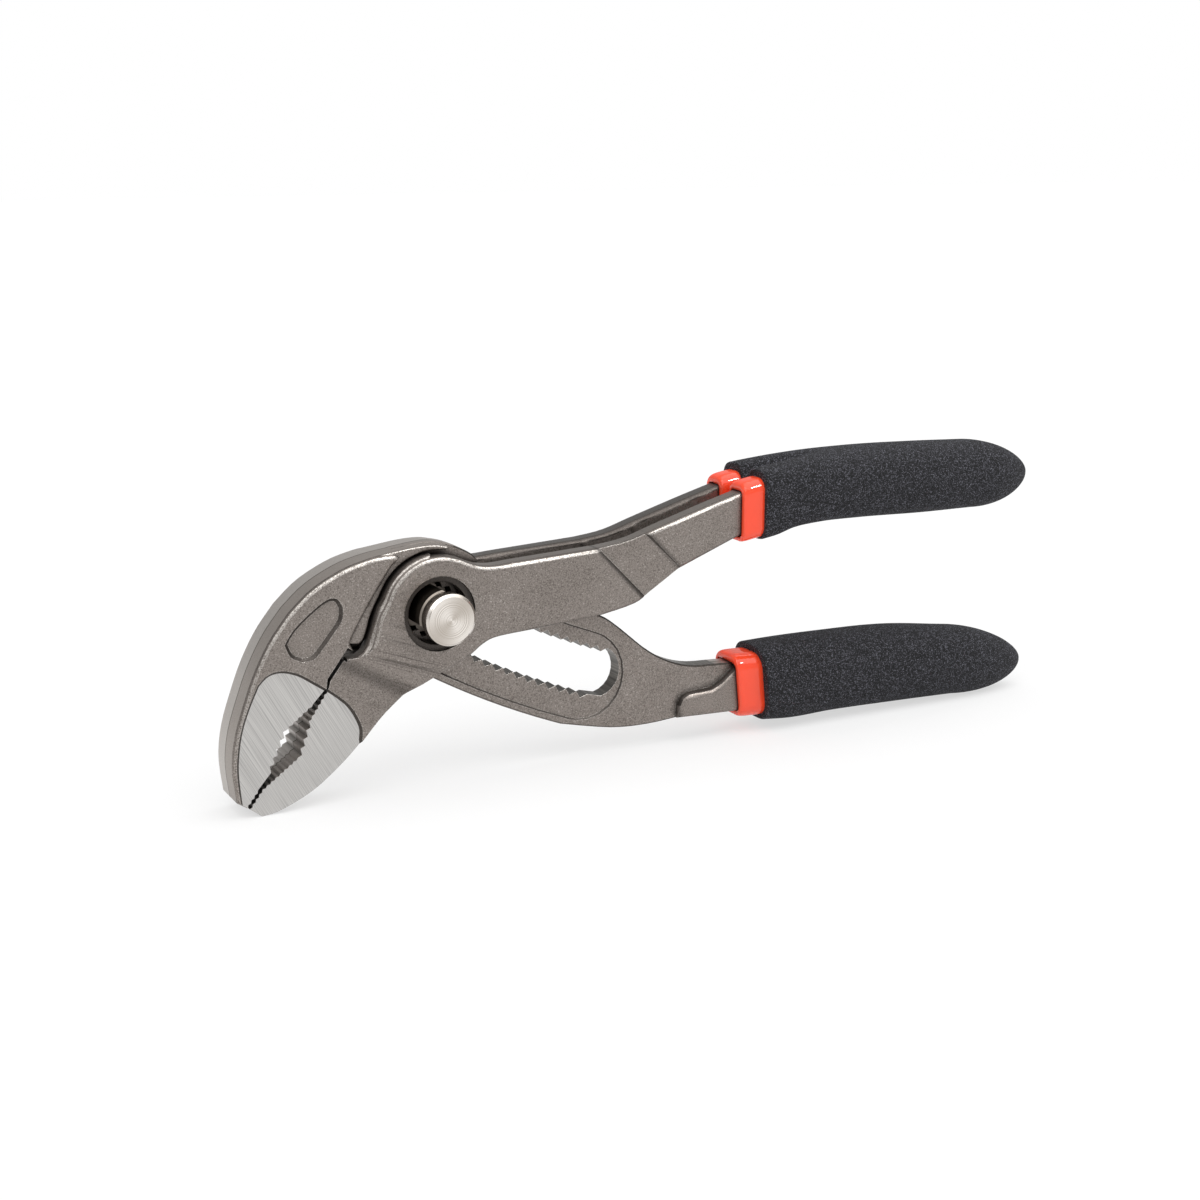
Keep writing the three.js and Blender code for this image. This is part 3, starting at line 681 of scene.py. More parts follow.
@dataclass(frozen=True)
class FoamedVinyl:
    """Foamed vinyl dip: charcoal, gritty like fine sandpaper, with pale flecks."""

    pit: str = "#09090a"
    base: str = "#1b1b1e"
    rise: str = "#28282c"
    fleck: str = "#6e6e77"
    grain_mm: float = 0.15
    relief_mm: float = 0.2
    relief: float = 0.6
    roughness: float = 0.8
    specular: float = 0.28

    def material(self) -> Material:
        """Build the shader: cells for the grit, each with a grey by chance.

        Returns:
            The material.
        """
        material = new_material("foamed charcoal vinyl")
        tree = material.node_tree
        place = add_node(tree, "TexCoord")
        grain = add_node(tree, "TexVoronoi", {
            "Vector": (place, "Object"), "Scale": per_metre(self.grain_mm),
        })
        chance = add_node(tree, "SeparateColor", {0: (grain, "Color")})
        tone = set_ramp(
            add_node(tree, "ValToRGB", {"Fac": (chance, 0)}),
            {0.0: self.pit, 0.45: self.base, 0.75: self.rise, 1.0: self.fleck},
        )
        relief = add_node(tree, "Bump", {
            "Height": (grain, "Distance"), "Distance": self.relief_mm * MM, "Strength": self.relief,
        }, invert=True)
        surface = add_node(tree, "BsdfPrincipled", {
            "Base Color": (tone, "Color"), "Normal": (relief, 0), "Roughness": self.roughness,
            "Specular IOR Level": self.specular,
        })
        add_node(tree, "OutputMaterial", {"Surface": (surface, 0)})
        return material


@dataclass(frozen=True)
class PaleFloor:
    """Matt white card: it keeps the soft shadow and otherwise meets the white background."""

    card: str = "#f4f4f4"
    white: str = "#ffffff"
    glow: float = 0.62

    def material(self) -> Material:
        """Build the shader: matt white, lifted to white for the rays that show it.

        Returns:
            The material.
        """
        material = new_material("white card")
        tree = material.node_tree
        ray = add_node(tree, "LightPath")
        seen = add_node(tree, "Math", {
            0: (ray, "Is Camera Ray"), 1: (ray, "Is Glossy Ray"),
        }, operation="MAXIMUM")
        share = add_node(tree, "Math", {0: (seen, 0), 1: self.glow}, operation="MULTIPLY")
        matt = add_node(tree, "BsdfDiffuse", {"Color": linear(self.card)})
        white = add_node(tree, "Emission", {"Color": linear(self.white), "Strength": 1.0})
        both = add_node(tree, "MixShader", {0: (share, 0), 1: (matt, 0), 2: (white, 0)})
        add_node(tree, "OutputMaterial", {"Surface": (both, 0)})
        return material


def mesh_object(
    name: str, points: Array, faces: Array, material: Material,
) -> Object:
    """Make a smooth mesh object from arrays.

    Args:
        name: the object's name.
        points: one row of x, y and z for each vertex, in metres.
        faces: one row of vertex numbers for each four-sided face.
        material: the material of the whole piece.

    Returns:
        The object, linked to the scene.
    """
    mesh = bpy.data.meshes.new(name)
    mesh.from_pydata(points.tolist(), [], faces.tolist())
    mesh.update()
    mesh.shade_smooth()
    mesh.materials.append(material)
    piece = bpy.data.objects.new(name, mesh)
    bpy.context.scene.collection.objects.link(piece)
    return piece


def grid_faces(rows: int, columns: int, wrap_rows: bool) -> Array:
    """Number the faces of a grid whose columns close on themselves.

    Args:
        rows: how many rings of points there are.
        columns: how many points each ring has.
        wrap_rows: whether the last ring joins the first.

    Returns:
        One row of four vertex numbers for each face.
    """
    ring = np.arange(rows if wrap_rows else rows - 1)[:, None]
    column = np.arange(columns)[None, :]
    ahead = (ring + 1) % rows
    beside = (column + 1) % columns
    corners = (
        ring * columns + column,
        ring * columns + beside,
        ahead * columns + beside,
        ahead * columns + column,
    )
    return np.stack([np.broadcast_to(c, (ring.size, columns)) for c in corners], -1).reshape(-1, 4)


def attach(piece: Object, body: Body, slot: Slot, *nodes: str) -> Object:
    """Make a piece ride on its body and stand for its nodes, which are hidden.

    Args:
        piece: the finished piece.
        body: what it rides on.
        slot: its material slot in the record; not used.
        nodes: the CAD nodes that it stands for.

    Returns:
        The same piece.
    """
    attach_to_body(piece, body.value)
    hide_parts(*nodes)
    LOG.info("%s: %d faces on %s", piece.name, len(piece.data.polygons), body.value)
    return piece


def smooth_through(wanted: Array, places: Array, values: Array) -> Array:
    """Carry values smoothly from station to station.

    A cubic runs between each two stations, with the slope at a station taken from its
    neighbours on both sides.

    Args:
        wanted: the places to fill in.
        places: the stations' places, rising.
        values: the stations' values.

    Returns:
        One value for each wanted place.
    """
    slope = np.gradient(values, places)
    left = np.clip(np.searchsorted(places, wanted, side="right") - 1, 0, len(places) - 2)
    span = places[left + 1] - places[left]
    t = (wanted - places[left]) / span
    return (
        (2 * t**3 - 3 * t**2 + 1) * values[left]
        + (t**3 - 2 * t**2 + t) * span * slope[left]
        + (3 * t**2 - 2 * t**3) * values[left + 1]
        + (t**3 - t**2) * span * slope[left + 1]
    )


def welded(frame: Frame, node: str, name: str) -> tuple[Mesh, Array, Array]:
    """Copy a CAD node's triangles with the corners that lie together made one.

    Args:
        frame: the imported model.
        node: the node's name.
        name: the copy's name.

    Returns:
        The copy, its points, and its triangles as vertex numbers.
    """
    source = frame["nodes"][node].data
    source.calc_loop_triangles()
    points = np.empty(len(source.vertices) * 3)
    source.vertices.foreach_get("co", points)
    corners = np.empty(len(source.loop_triangles) * 3, dtype=np.int32)
    source.loop_triangles.foreach_get("vertices", corners)
    points = points.reshape(-1, 3)
    keys = np.round(points / (WELD_MM * MM)).astype(np.int64)
    _, first, joined = np.unique(keys, axis=0, return_index=True, return_inverse=True)
    faces = joined.reshape(-1)[corners].reshape(-1, 3)
    whole = (np.diff(np.sort(faces, 1), axis=1) > 0).all(1)
    mesh = bpy.data.meshes.new(name)
    mesh.from_pydata(points[first].tolist(), [], faces[whole].tolist())
    mesh.update()
    return mesh, points[first], faces[whole]


def face_normals(points: Array, faces: Array) -> Array:
    """Work out each triangle's unit normal, the cross product of two of its sides.

    Args:
        points: one row of x, y and z for each vertex.
        faces: one row of three vertex numbers for each triangle.

    Returns:
        One row of x, y and z for each triangle.
    """
    a, b, c = (points[faces[:, k]] for k in range(3))
    normal = np.cross(b - a, c - a)
    length = np.linalg.norm(normal, axis=1, keepdims=True)
    return normal / np.maximum(length, np.finfo(float).tiny)


def mark_faces(mesh: Mesh, name: str, values: Array) -> None:
    """Store one number for each face, for the shader to read."""
    mesh.attributes.new(name, "FLOAT", "FACE").data.foreach_set("value", values.astype(np.float32))


def looks_up(normals: Array) -> Array:
    """Say how far each face looks up, from 0 for down or sideways to 1."""
    upward = normals[:, 2] / np.maximum(np.hypot(normals[:, 0], normals[:, 2]), TINY)
    return np.clip(1.2 * upward + 0.15, 0.0, 1.0)


def is_wall(normals: Array) -> Array:
    """Find the recesses' walls, which slope halfway between the flat faces and the flanks."""
    return np.abs(np.abs(normals[:, 1]) - WALL_SLOPE) < WALL_SLACK


def between(values: Array, limits: tuple[float, float]) -> Array:
    """Say which values lie between two limits."""
    return (values > limits[0]) & (values < limits[1])


def crease_walls(mesh: Mesh) -> None:
    """Keep an edge sharp if it has a recess's wall on one side only.

    Args:
        mesh: a mesh of triangles, which is changed.
    """
    normals = np.empty(len(mesh.polygons) * 3)
    mesh.polygons.foreach_get("normal", normals)
    edges = np.empty(len(mesh.loops), dtype=np.int32)
    mesh.loops.foreach_get("edge_index", edges)
    walls = np.zeros(len(mesh.edges))
    np.add.at(walls, edges, np.repeat(is_wall(normals.reshape(-1, 3)), 3).astype(float))
    sharp = np.empty(len(mesh.edges), dtype=bool)
    mesh.edges.foreach_get("use_edge_sharp", sharp)
    mesh.edges.foreach_set("use_edge_sharp", sharp | (walls == 1))


def dress_mesh(
    mesh: Mesh, materials: tuple[Material, ...], sharp_deg: float,
) -> Object:
    """Give a copied mesh its materials, soft normals and flat faces that stay flat.

    Args:
        mesh: the copy.
        materials: its materials, the first for every face.
        sharp_deg: edges that turn by more than this stay sharp.

    Returns:
        The object, at the origin.
    """
    for material in materials:
        mesh.materials.append(material)
    mesh.shade_smooth()
    mesh.set_sharp_from_angle(angle=math.radians(sharp_deg))
    crease_walls(mesh)
    piece = bpy.data.objects.new(mesh.name, mesh)
    bpy.context.scene.collection.objects.link(piece)
    even = piece.modifiers.new("flat faces stay flat", "WEIGHTED_NORMAL")
    even.mode = "FACE_AREA"
    even.keep_sharp = True
    return piece


@dataclass(frozen=True)
class SlotArc:
    """The arc that the toothed slot follows, and how far the slot reaches from it."""

    radius_mm: float = 171.5
    tilt_deg: float = 32.9
    half_width_mm: float = 5.7
    x_from_mm: float = -7.0

    def holds(self, centres_mm: Array) -> Array:
        """Say which places lie in the slot, by their distance from the arc's centre.

        Args:
            centres_mm: the places, in millimetres about the pin.

        Returns:
            True or false for each place.
        """
        tilt = math.radians(self.tilt_deg)
        x = centres_mm[:, 0] - self.radius_mm * math.sin(tilt)
        z = centres_mm[:, 2] - self.radius_mm * math.cos(tilt)
        across = np.abs(self.radius_mm - np.hypot(x, z))
        return (across < self.half_width_mm) & (centres_mm[:, 0] > self.x_from_mm)


@dataclass(frozen=True)
class ShadeShares:
    """How dark the painted shade is on each kind of face of a forging, from 0 to 1."""

    wall: float = 0.8
    handle_edge: float = 0.9
    shoulder: float = 0.5
    step: float = 0.5
    rim: float = 0.6
    inside: float = 0.75
    bore: float = 0.8
    front_top: float = 0.4
    rear_top: float = 0.8


@dataclass(frozen=True)
class Forging:
    """One forged half: the CAD solid with soft normals, edges with a painted highlight that is
    patchy like wear, painted shade in its hollows, and ground jaw sides.
    """

    node: str
    body: Body
    handle_from_mm: float
    slot_arc: SlotArc = SlotArc()
    shares: ShadeShares = ShadeShares()
    ground_half_mm: float = 4.4
    ground_slack_mm: float = 0.05
    ground_reach_mm: float = -14.0
    # Where the painted edge highlight begins across the tool, and how bright it is on the facets.
    highlight_from_mm: float = 3.9
    facet_highlight_share: float = 0.8
    web_half_mm: float = 2.1
    bore_radius_mm: float = 7.3
    bore_half_mm: float = 6.2
    upward_from: float = 0.2
    sharp_deg: float = 50.0

    def build(
        self, frame: Frame, pivot: Pivot, finishes: tuple[Material, ...],
    ) -> Object:
        """Copy the node, mark its rounded edges and flanks, and dress its worked faces.

        Args:
            frame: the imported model.
            pivot: the pin's axis.
            finishes: the blasted finish, the ground one and the milled one.

        Returns:
            The dressed copy, which stands for the node.
        """
        mesh, points, faces = welded(frame, self.node, self.node + "_dressed")
        normals = face_normals(points, faces)
        across = np.abs(normals[:, 1])
        centres = (points[faces].mean(1) - (pivot.x, pivot.y, pivot.z)) / MM
        mark_faces(mesh, EDGE_HIGHLIGHT_ATTRIBUTE, self.rubbed(normals, centres))
        mark_faces(mesh, FLANK, across < FLANK_TO)
        mark_faces(mesh, SHADE_ATTRIBUTE, self.soiled(normals, centres))
        piece = dress_mesh(mesh, finishes, self.sharp_deg)
        level = np.abs(np.abs(centres[:, 1]) - self.ground_half_mm) < self.ground_slack_mm
        bright = (across > FLAT_FROM) & level & (centres[:, 0] < self.ground_reach_mm)
        # The slot's walls take the milled steel, whose darker grey is painted shade.
        milled = (across < FLANK_TO) & self.slot_arc.holds(centres) & (self.body is Body.INNER)
        finish = np.select([bright, milled], [1, 2], 0).astype(np.int32)
        mesh.polygons.foreach_set("material_index", finish)
        return attach(piece, self.body, Slot.FORGED, self.node)

    def rubbed(self, normals: Array, centres: Array) -> Array:
        """Say how bright the painted highlight is on each face of a rounded edge.

        Of the two facets of an outer edge, the one next to the flat face gets a painted
        highlight from the overhead light, and more so the more it looks up.

        Args:
            normals: each triangle's normal.
            centres: each triangle's middle, in millimetres about the pin.

        Returns:
            A share from 0 to 1 for each triangle.
        """
        across = normals[:, 1] * np.sign(centres[:, 1])
        # Painted highlight: the edge facet next to a flat face, brighter the more it looks up.
        crest = between(across, SIDE_FACET) & (np.abs(centres[:, 1]) > self.highlight_from_mm)
        return np.where(crest, self.facet_highlight_share * looks_up(normals), 0.0)

    def soiled(self, normals: Array, centres: Array) -> Array:
        """Say how dark the painted shade is on each face.

        Recess walls, the facets beside the flanks, the web's rim, edges between the cheeks,
        the pin's counterbore and the tops of the handles get painted shade.

        Args:
            normals: each triangle's normal.
            centres: each triangle's middle, in millimetres about the pin.

        Returns:
            A share from 0 to 1 for each triangle.
        """
        across = normals[:, 1] * np.sign(centres[:, 1])
        reach = np.abs(centres[:, 1])
        facet = between(across, FLANK_FACET)
        rim = between(across, SIDE_FACET) & (reach < self.web_half_mm)
        bore = (np.hypot(centres[:, 0], centres[:, 2]) < self.bore_radius_mm) & (reach < self.bore_half_mm)
        upward = (centres[:, 0] > self.handle_from_mm) & (normals[:, 2] > self.upward_from)
        flank = np.abs(normals[:, 1]) < FLANK_TO
        outer = self.body is Body.OUTER
        tops = np.where(centres[:, 1] < 0, self.shares.front_top, self.shares.rear_top)
        # Painted shade where less light falls: recess walls, dark lines beside the edges, faces between
        # the cheeks, the counterbore, and the handles' tops, more on the rear leg.
        cases = (
            (is_wall(normals), self.shares.wall),
            ((facet | rim) & upward & (not outer), self.shares.handle_edge),
            (facet & (reach > self.highlight_from_mm), self.shares.shoulder * looks_up(normals)),
            (facet & between(reach, (self.web_half_mm, self.highlight_from_mm)), self.shares.step),
            (rim, self.shares.rim),
            (between(across, INSIDE_FACETS), self.shares.inside),
            (bore & outer, self.shares.bore),
            (flank & upward & outer, tops),
        )
        return np.select(*zip(*cases), 0.0)


@dataclass(frozen=True)
class TurnedPart:
    """A round part of the pin set: the CAD solid with round flanks and crisp shoulders."""

    node: str
    body: Body
    slot: Slot
    sharp_deg: float = 35.0

    def build(self, frame: Frame, metal: Material) -> Object:
        """Copy the node and dress it.

        Args:
            frame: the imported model.
            metal: the part's finish.

        Returns:
            The dressed copy, which stands for the node.
        """
        mesh, _, _ = welded(frame, self.node, self.node + "_dressed")
        return attach(dress_mesh(mesh, (metal,), self.sharp_deg), self.body, self.slot, self.node)


@dataclass(frozen=True)
class PinSpring:
    """The coil behind the pin, which shortens against its washer as the button goes in."""

    node: str = "pin_spring"
    joint: str = "button_press"
    stroke_mm: float = 1.6

    def build(self, frame: Frame, metal: Material) -> Object:
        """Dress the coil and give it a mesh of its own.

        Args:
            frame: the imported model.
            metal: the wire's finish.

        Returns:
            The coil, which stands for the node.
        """
        coil = TurnedPart(self.node, Body.CARRIER, Slot.PIN_STEEL).build(frame, metal)
        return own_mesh(coil)


@dataclass(frozen=True)
class Station:
    """One section of a grip: x, centre and half sizes in millimetres, roundness and lean."""

    x: float
    centre: float
    half_height: float
    half_width: float
    roundness: float
    lean: float = 0.0


@dataclass(frozen=True)
class Grip:
    """A dipped grip: soft sections strung along x, a round tip and a rounded mouth."""

    node: str
    body: Body
    stations: tuple[Station, ...]
    tip_mm: float
    tip_drop_mm: float
    tip_point: float = 1.0
    groove_mm: float = 0.0
    groove_length_mm: float = 17.0
    groove_half_width_mm: float = 1.5
    rim_mm: float = 0.45
    inside_mm: float = 0.1
    inside_shares: tuple[float, float] = (0.02, 0.55)
    sides: int = 112
    rings: int = 130
    tip_rings: int = 40
    rim_rings: int = 8
    last_turn: float = 0.4999 * math.pi

    def sections(self) -> tuple[Array, ...]:
        """Work out every section from the mouth to the tip.

        The stations are carried smoothly along x; past the last one the section shrinks
        as a quarter ellipse, or more pointed; at the mouth it draws in as a quarter circle.

        Returns:
            Arrays of x, centre, half height, half width, roundness and lean.
        """
        table = np.array([
            (s.x, s.centre, s.half_height, s.half_width, s.roundness, s.lean)
            for s in self.stations
        ])
        x = np.linspace(table[0, 0] + self.rim_mm, table[-1, 0], self.rings)
        middle = np.stack([smooth_through(x, table[:, 0], table[:, k]) for k in range(1, 6)], 1)
        turn = np.linspace(0.0, self.last_turn, self.tip_rings)[1:]
        tip = np.repeat(middle[-1:], turn.size, 0)
        tip[:, 0] += self.tip_drop_mm * np.sin(turn)
        tip[:, 1:3] *= np.cos(turn)[:, None] ** self.tip_point
        rim_turn = np.linspace(0.5 * np.pi, 0.0, self.rim_rings)[:-1]
        rim = np.repeat(middle[:1], rim_turn.size + 2, 0)
        drawn_in = self.rim_mm * (1 - np.cos(rim_turn))
        rim[2:, 1:3] -= drawn_in[:, None]
        rim[:2, 1:3] *= np.array(self.inside_shares)[:, None]
        rim_x = table[0, 0] + self.rim_mm * (1 - np.sin(rim_turn))
        inside = np.full(2, table[0, 0] + self.inside_mm)
        all_x = np.concatenate([inside, rim_x, x, table[-1, 0] + self.tip_mm * np.sin(turn)])
        rows = np.concatenate([rim, middle, tip])
        return (all_x, *rows.T)

    def build(self, pivot: Pivot, foam: Material) -> Object:
        """Make the grip's surface.

        Each section is a rounded box: at an angle round it, the distance from its centre is
        where the sum of powers of y and z over the half sizes is one. The groove between two
        legs is a bell-shaped dip near y = 0.

        Args:
            pivot: the pin's axis.
            foam: the grip's finish.

        Returns:
            The grip, which stands for its node.
        """
        x, centre, height, width, roundness, lean = (a[:, None] for a in self.sections())
        angle = (np.arange(self.sides) + 0.5)[None, :] * 2 * np.pi / self.sides
        cos, sin = np.cos(angle), np.sin(angle)
        power = 2.0 / roundness
        reach = (np.abs(cos / width) ** power + np.abs(sin / height) ** power) ** (-1.0 / power)
        y = reach * cos
        fade = np.clip(1 - (x - x.min()) / self.groove_length_mm, 0, 1)
        shrink = height / height.max()
        dip = self.groove_mm * fade * shrink * np.exp(-((y / self.groove_half_width_mm) ** 2))
        z = reach * sin - np.sign(sin) * np.minimum(dip, reach * np.abs(sin))
        points = np.stack([x - lean * z, y, centre + z], -1)
        faces = grid_faces(points.shape[0], self.sides, wrap_rows=False)
        piece = mesh_object(self.node + "_dressed", pivot.place(points.reshape(-1, 3)), faces, foam)
        close_ends(piece)
        return attach(piece, self.body, Slot.FOAM, self.node)


def close_ends(piece: Object) -> None:
    """Close the open rings of a tube and turn its faces outwards.

    Args:
        piece: the tube, whose mesh is changed.
    """
    work = bmesh.new()
    work.from_mesh(piece.data)
    bmesh.ops.holes_fill(work, edges=[e for e in work.edges if e.is_boundary])
    bmesh.ops.recalc_face_normals(work, faces=work.faces)
    work.to_mesh(piece.data)
    work.free()
    piece.data.shade_smooth()


@dataclass(frozen=True)
class RoundedBox:
    """A rounded rectangle across the tool, in millimetres; top and underside may slope."""

    front: float
    back: float
    under: float
    top: float
    corner: float
    under_slope: float = 0.0
    top_slope: float = 0.0

    def walk(self, x: Array, angle: Array) -> tuple[Array, Array]:
        """Find the point whose outward direction has the given angle.

        The point is a corner's centre plus the corner's radius in that direction.

        Args:
            x: places along the collar from its middle, as a row.
            angle: outward directions, as a column, with their quarter turns in order.

        Returns:
            Arrays of y and z.
        """
        top = self.top + self.top_slope * x
        under = self.under + self.under_slope * x
        back = np.cos(angle) > 0
        high = np.sin(angle) > 0
        y = np.where(back, self.back - self.corner, self.front + self.corner)
        z = np.where(high, top - self.corner, under + self.corner)
        return y + self.corner * np.cos(angle) + 0 * x, z + self.corner * np.sin(angle)


@dataclass(frozen=True)
class Collar:
    """A dipped collar: a pillow-shaped band between the steel and a softer outline."""

    node: str
    body: Body
    x_from: float
    x_to: float
    inner: RoundedBox
    outer: RoundedBox
    lean: float = 0.0
    end_power: float = 0.5
    top_power: float = 0.45
    around: int = 160
    section: int = 56

    def build(self, pivot: Pivot, vinyl: Material) -> Object:
        """Make the collar's closed surface.

        A pillow profile is carried round the tool: its length along x is a soft power of
        the cosine, and its height goes from the inner outline to the outer one by a soft
        power of the sine. The underside of the profile lies on the inner outline.

        Args:
            pivot: the pin's axis.
            vinyl: the collar's finish.

        Returns:
            The collar, which stands for its node.
        """
        turn = (np.arange(self.section) + 0.5)[None, :] * 2 * np.pi / self.section
        angle = (np.arange(self.around) + 0.5)[:, None] * 2 * np.pi / self.around
        cos, sin = np.cos(turn), np.sin(turn)
        x = np.sign(cos) * np.abs(cos) ** self.end_power * (self.x_to - self.x_from) / 2
        lift = np.where(sin > 0, np.abs(sin) ** self.top_power, 0.0)
        inner_y, inner_z = self.inner.walk(x, angle)
        outer_y, outer_z = self.outer.walk(x, angle)
        y = inner_y + (outer_y - inner_y) * lift
        z = inner_z + (outer_z - inner_z) * lift
        above = z - (self.outer.under + self.outer.top) / 2
        leaning = (self.x_from + self.x_to) / 2 + x + self.lean * above
        points = np.stack([leaning, y, z], -1)
        faces = grid_faces(self.around, self.section, wrap_rows=True)
        piece = mesh_object(self.node + "_dressed", pivot.place(points.reshape(-1, 3)), faces, vinyl)
        close_ends(piece)
        return attach(piece, self.body, Slot.VINYL, self.node)


@dataclass(frozen=True)
class Lamp:
    """A wide, far lamp that lights the whole card evenly.

    Its azimuth runs from the front (0) towards +X (90), a wide spread gives a soft shadow, and
    its strength is the light on a face that looks straight at it. A lamp for glints shows only
    as a reflection on glossy faces.
    """

    name: str
    azimuth_deg: float
    elevation_deg: float
    spread_deg: float
    strength: float
    glints_only: bool = False

    def hang(self) -> None:
        """Add the lamp to the scene."""
        data = bpy.data.lights.new(self.name, "SUN")
        data.angle = math.radians(self.spread_deg)
        data.energy = self.strength
        lamp = bpy.data.objects.new(self.name, data)
        lamp.rotation_euler = (
            math.radians(90.0 - self.elevation_deg), 0.0, math.radians(self.azimuth_deg),
        )
        lamp.visible_diffuse = not self.glints_only
        bpy.context.scene.collection.objects.link(lamp)


@dataclass(frozen=True)
class Studio:
    """The floor, the soft lights, the white surround and the photograph's camera."""

    lamps: tuple[Lamp, ...]
    camera_mm: Spot = (-131.64, -320.48, 87.27)
    azimuth_deg: float = 27.7
    elevation_deg: float = 14.0
    focal_px: float = 1900.0
    image_px: float = 1200.0
    sensor_mm: float = 36.0
    clip_mm: float = 10.0
    floor_mm: float = 6000.0
    surround: float = 0.52
    white: str = "#ffffff"

    def camera(self, pivot: Pivot) -> None:
        """Set the camera that the photograph was taken with.

        Args:
            pivot: the pin's axis, from which its place is measured.
        """
        data = bpy.data.cameras.new("photograph")
        data.sensor_width = self.sensor_mm
        data.lens = self.focal_px / self.image_px * self.sensor_mm
        data.clip_start = self.clip_mm * MM
        camera = bpy.data.objects.new("photograph", data)
        camera.location = pivot.place(np.array(self.camera_mm)).tolist()
        camera.rotation_euler = (
            math.radians(90.0 - self.elevation_deg), 0.0, -math.radians(self.azimuth_deg),
        )
        bpy.context.scene.collection.objects.link(camera)
        bpy.context.scene.camera = camera

    def floor(self) -> None:
        """Lay the white card that the pliers stand on."""
        half = self.floor_mm * MM / 2
        corners = np.array([[-half, -half, 0], [half, -half, 0], [half, half, 0], [-half, half, 0]])
        card = mesh_object("floor", corners, np.array([[0, 1, 2, 3]]), PaleFloor().material())

    def world(self) -> None:
        """Surround the pliers with even light that the camera sees as white."""
        world = bpy.data.worlds.new("white surround")
        world.use_nodes = True
        tree = world.node_tree
        tree.nodes.clear()
        ray = add_node(tree, "LightPath")
        strength = add_node(tree, "MapRange", {
            "Value": (ray, "Is Camera Ray"), "To Min": self.surround, "To Max": 1.0,
        })
        surface = add_node(tree, "Background", {
            "Color": linear(self.white), "Strength": (strength, 0),
        })
        add_node(tree, "OutputWorld", {"Surface": (surface, 0)})
        bpy.context.scene.world = world

    def build(self, pivot: Pivot) -> None:
        """Set up everything round the pliers.

        Args:
            pivot: the pin's axis.
        """
        self.camera(pivot)
        self.floor()
        for lamp in self.lamps:
            lamp.hang()
        self.world()
        bpy.context.scene.view_settings.view_transform = "Standard"


def plain_node(frame: Frame, node: str, material: Material) -> None:
    """Give a CAD node that is right as it is a better material.

    Args:
        frame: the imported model.
        node: the node's name.
        material: its finish.
    """
    slots = frame["nodes"][node].data.materials
    slots.clear()
    slots.append(material)
    LOG.info("%s: dressed as it is", node)


OUTER_HALF = Forging("outer_half", Body.OUTER, handle_from_mm=-9.0)
INNER_HALF = Forging("inner_half", Body.INNER, handle_from_mm=5.0)
# Painted shade along the neck's slope and the legs' two shallow steps, and real milling lines on the neck.
OUTER_MARKS = (
    Crease((-12.7, 0.0, -10.9), (0.507, 0.0, 0.862), 2.4, 0.5),
    Crease((32.2, 0.0, 9.6), (0.731, 0.0, 0.683), 0.8, 0.75),
    Crease((43.4, 0.0, 11.4), (0.723, 0.0, 0.691), 0.9, 0.5),
    MillingLines((-6.5, -5.0, -9.5)),
)
BUTTON = TurnedPart("push_button", Body.PIN, Slot.NICKEL)
PIN_PARTS = (
    TurnedPart("pivot_pin", Body.PIN, Slot.PIN_STEEL),
    TurnedPart("retaining_ring", Body.PIN, Slot.PIN_STEEL),
)
UPPER_GRIP = Grip(
    "upper_grip", Body.OUTER,
    (
        Station(69.5, 13.95, 7.15, 8.6, 0.36),
        Station(73.0, 14.4, 7.1, 8.75, 0.4),
        Station(77.0, 15.1, 6.9, 8.7, 0.48),
        Station(84.0, 15.65, 7.05, 8.5, 0.62),
        Station(95.0, 15.75, 7.35, 8.1, 0.75),
        Station(112.0, 15.3, 7.45, 7.7, 0.78),
        Station(125.0, 14.95, 7.25, 7.2, 0.8),
    ),
    tip_mm=16.6, tip_drop_mm=-0.9, tip_point=1.4, groove_mm=4.4,
)
LOWER_GRIP = Grip(
    "lower_grip", Body.INNER,
    (
        Station(72.0, -24.2, 8.0, 6.7, 0.65, 0.1),
        Station(78.0, -24.4, 8.4, 6.9, 0.7, 0.08),
        Station(90.0, -24.4, 8.4, 6.8, 0.75),
        Station(107.0, -24.9, 8.3, 6.8, 0.78),
        Station(122.0, -26.1, 7.6, 6.6, 0.82),
    ),
    tip_mm=20.6, tip_drop_mm=-2.4, tip_point=1.25,
)
FRONT_LEG = RoundedBox(-6.5, -2.2, 8.25, 17.55, 0.9, 0.139, 0.103)
FRONT_BAND = RoundedBox(-7.7, -1.0, 7.1, 19.3, 2.5, 0.16, 0.16)
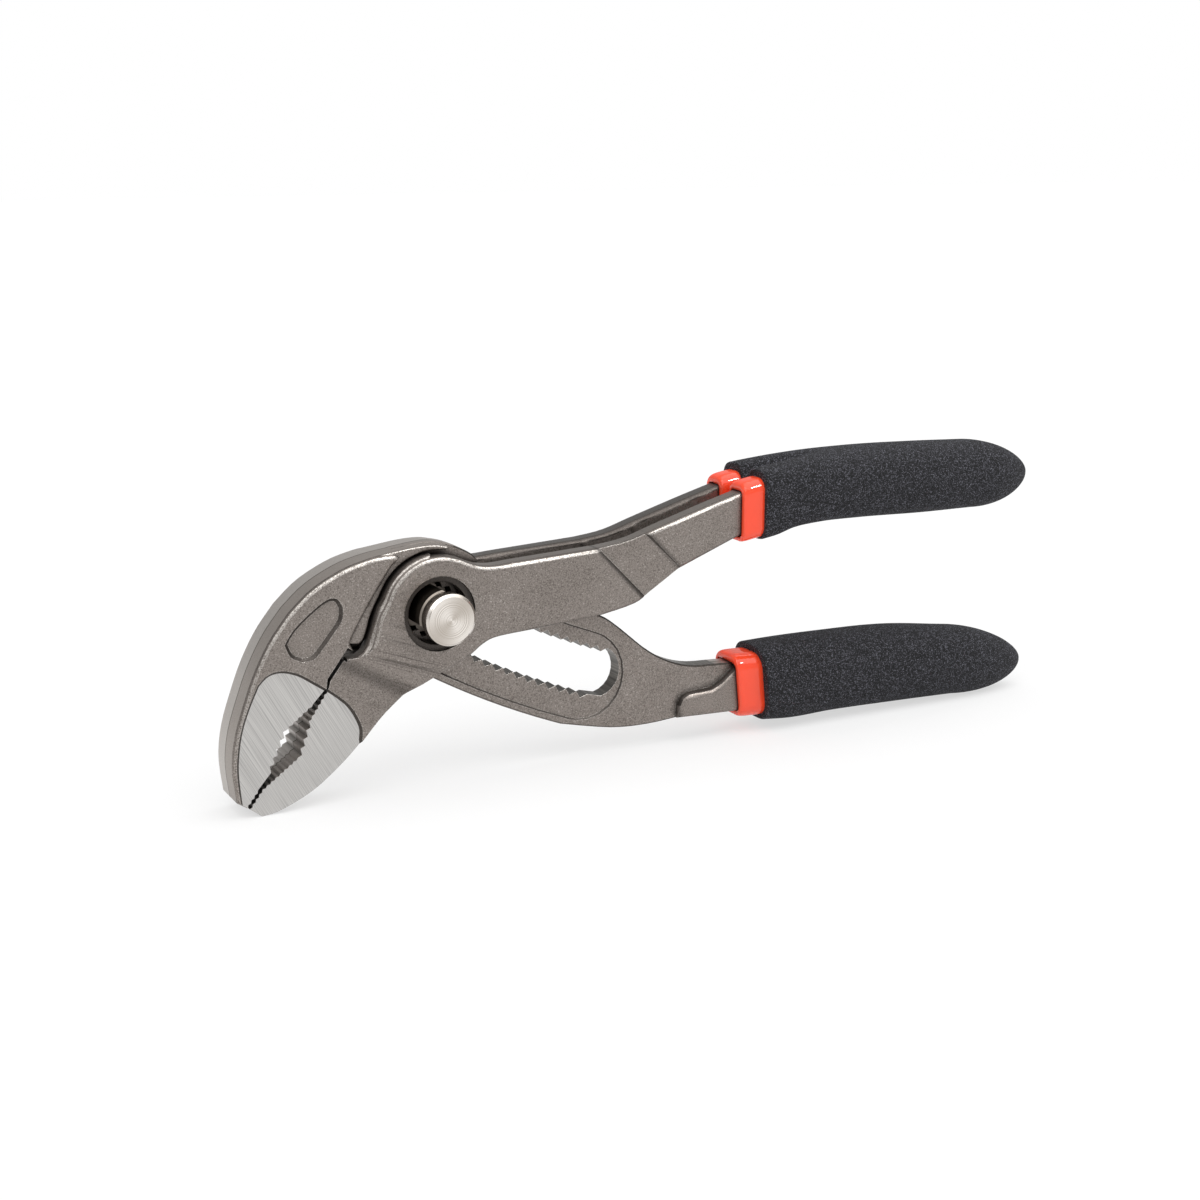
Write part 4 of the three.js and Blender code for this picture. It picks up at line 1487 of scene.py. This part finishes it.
REAR_LEG = RoundedBox(2.2, 6.5, 8.25, 17.55, 0.9, 0.139, 0.103)
REAR_BAND = RoundedBox(1.0, 7.7, 7.1, 19.3, 2.5, 0.16, 0.16)
TANG = RoundedBox(-3.7, 3.7, -29.55, -19.15, 1.3, -0.03, -0.054)
TANG_BAND = RoundedBox(-4.9, 4.9, -31.0, -17.4, 3.3, -0.04, -0.04)
COLLARS = (
    Collar("front_leg_collar", Body.OUTER, 64.9, 70.4, FRONT_LEG, FRONT_BAND),
    Collar("rear_leg_collar", Body.OUTER, 64.9, 70.4, REAR_LEG, REAR_BAND),
    Collar("lower_handle_collar", Body.INNER, 66.3, 72.9, TANG, TANG_BAND, -0.1),
)
LAMPS = (
    Lamp("overhead softbox", 60.0, 70.0, 75.0, 1.7),
    Lamp("key from the upper left", -50.0, 50.0, 45.0, 0.75),
    Lamp("small lamp", 33.0, 46.0, 9.0, 1.2, glints_only=True),
)


def main() -> None:
    """Load the frame, dress every piece and set the studio."""
    logging.basicConfig(level=logging.INFO, format="%(name)s: %(message)s")
    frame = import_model()
    pivot = Pivot.from_frame()

    worked = (GroundSteel().material(), MilledSteel().material())
    OUTER_HALF.build(frame, pivot, (BlastedSteel(pivot, OUTER_MARKS).material(), *worked))
    INNER_HALF.build(frame, pivot, (BlastedSteel(pivot).material(), *worked))

    axis = (pivot.x, pivot.y, pivot.z)
    nickel = TurnedMetal("bright turned nickel", "#ebe5de", "#b9b0a6", axis).material()
    steel = TurnedMetal("plain turned steel", "#8d857c", "#6f6861", axis, roughness=0.35).material()
    BUTTON.build(frame, nickel)
    for part in PIN_PARTS:
        part.build(frame, steel)
    PinSpring().build(frame, steel)
    plain_node(frame, "spring_washer", steel)

    vinyl = DippedVinyl().material()
    for collar in COLLARS:
        collar.build(pivot, vinyl)
    foam = FoamedVinyl().material()
    for grip in (UPPER_GRIP, LOWER_GRIP):
        grip.build(pivot, foam)

    Studio(LAMPS).build(pivot)


if __name__ == "__main__":
    main()
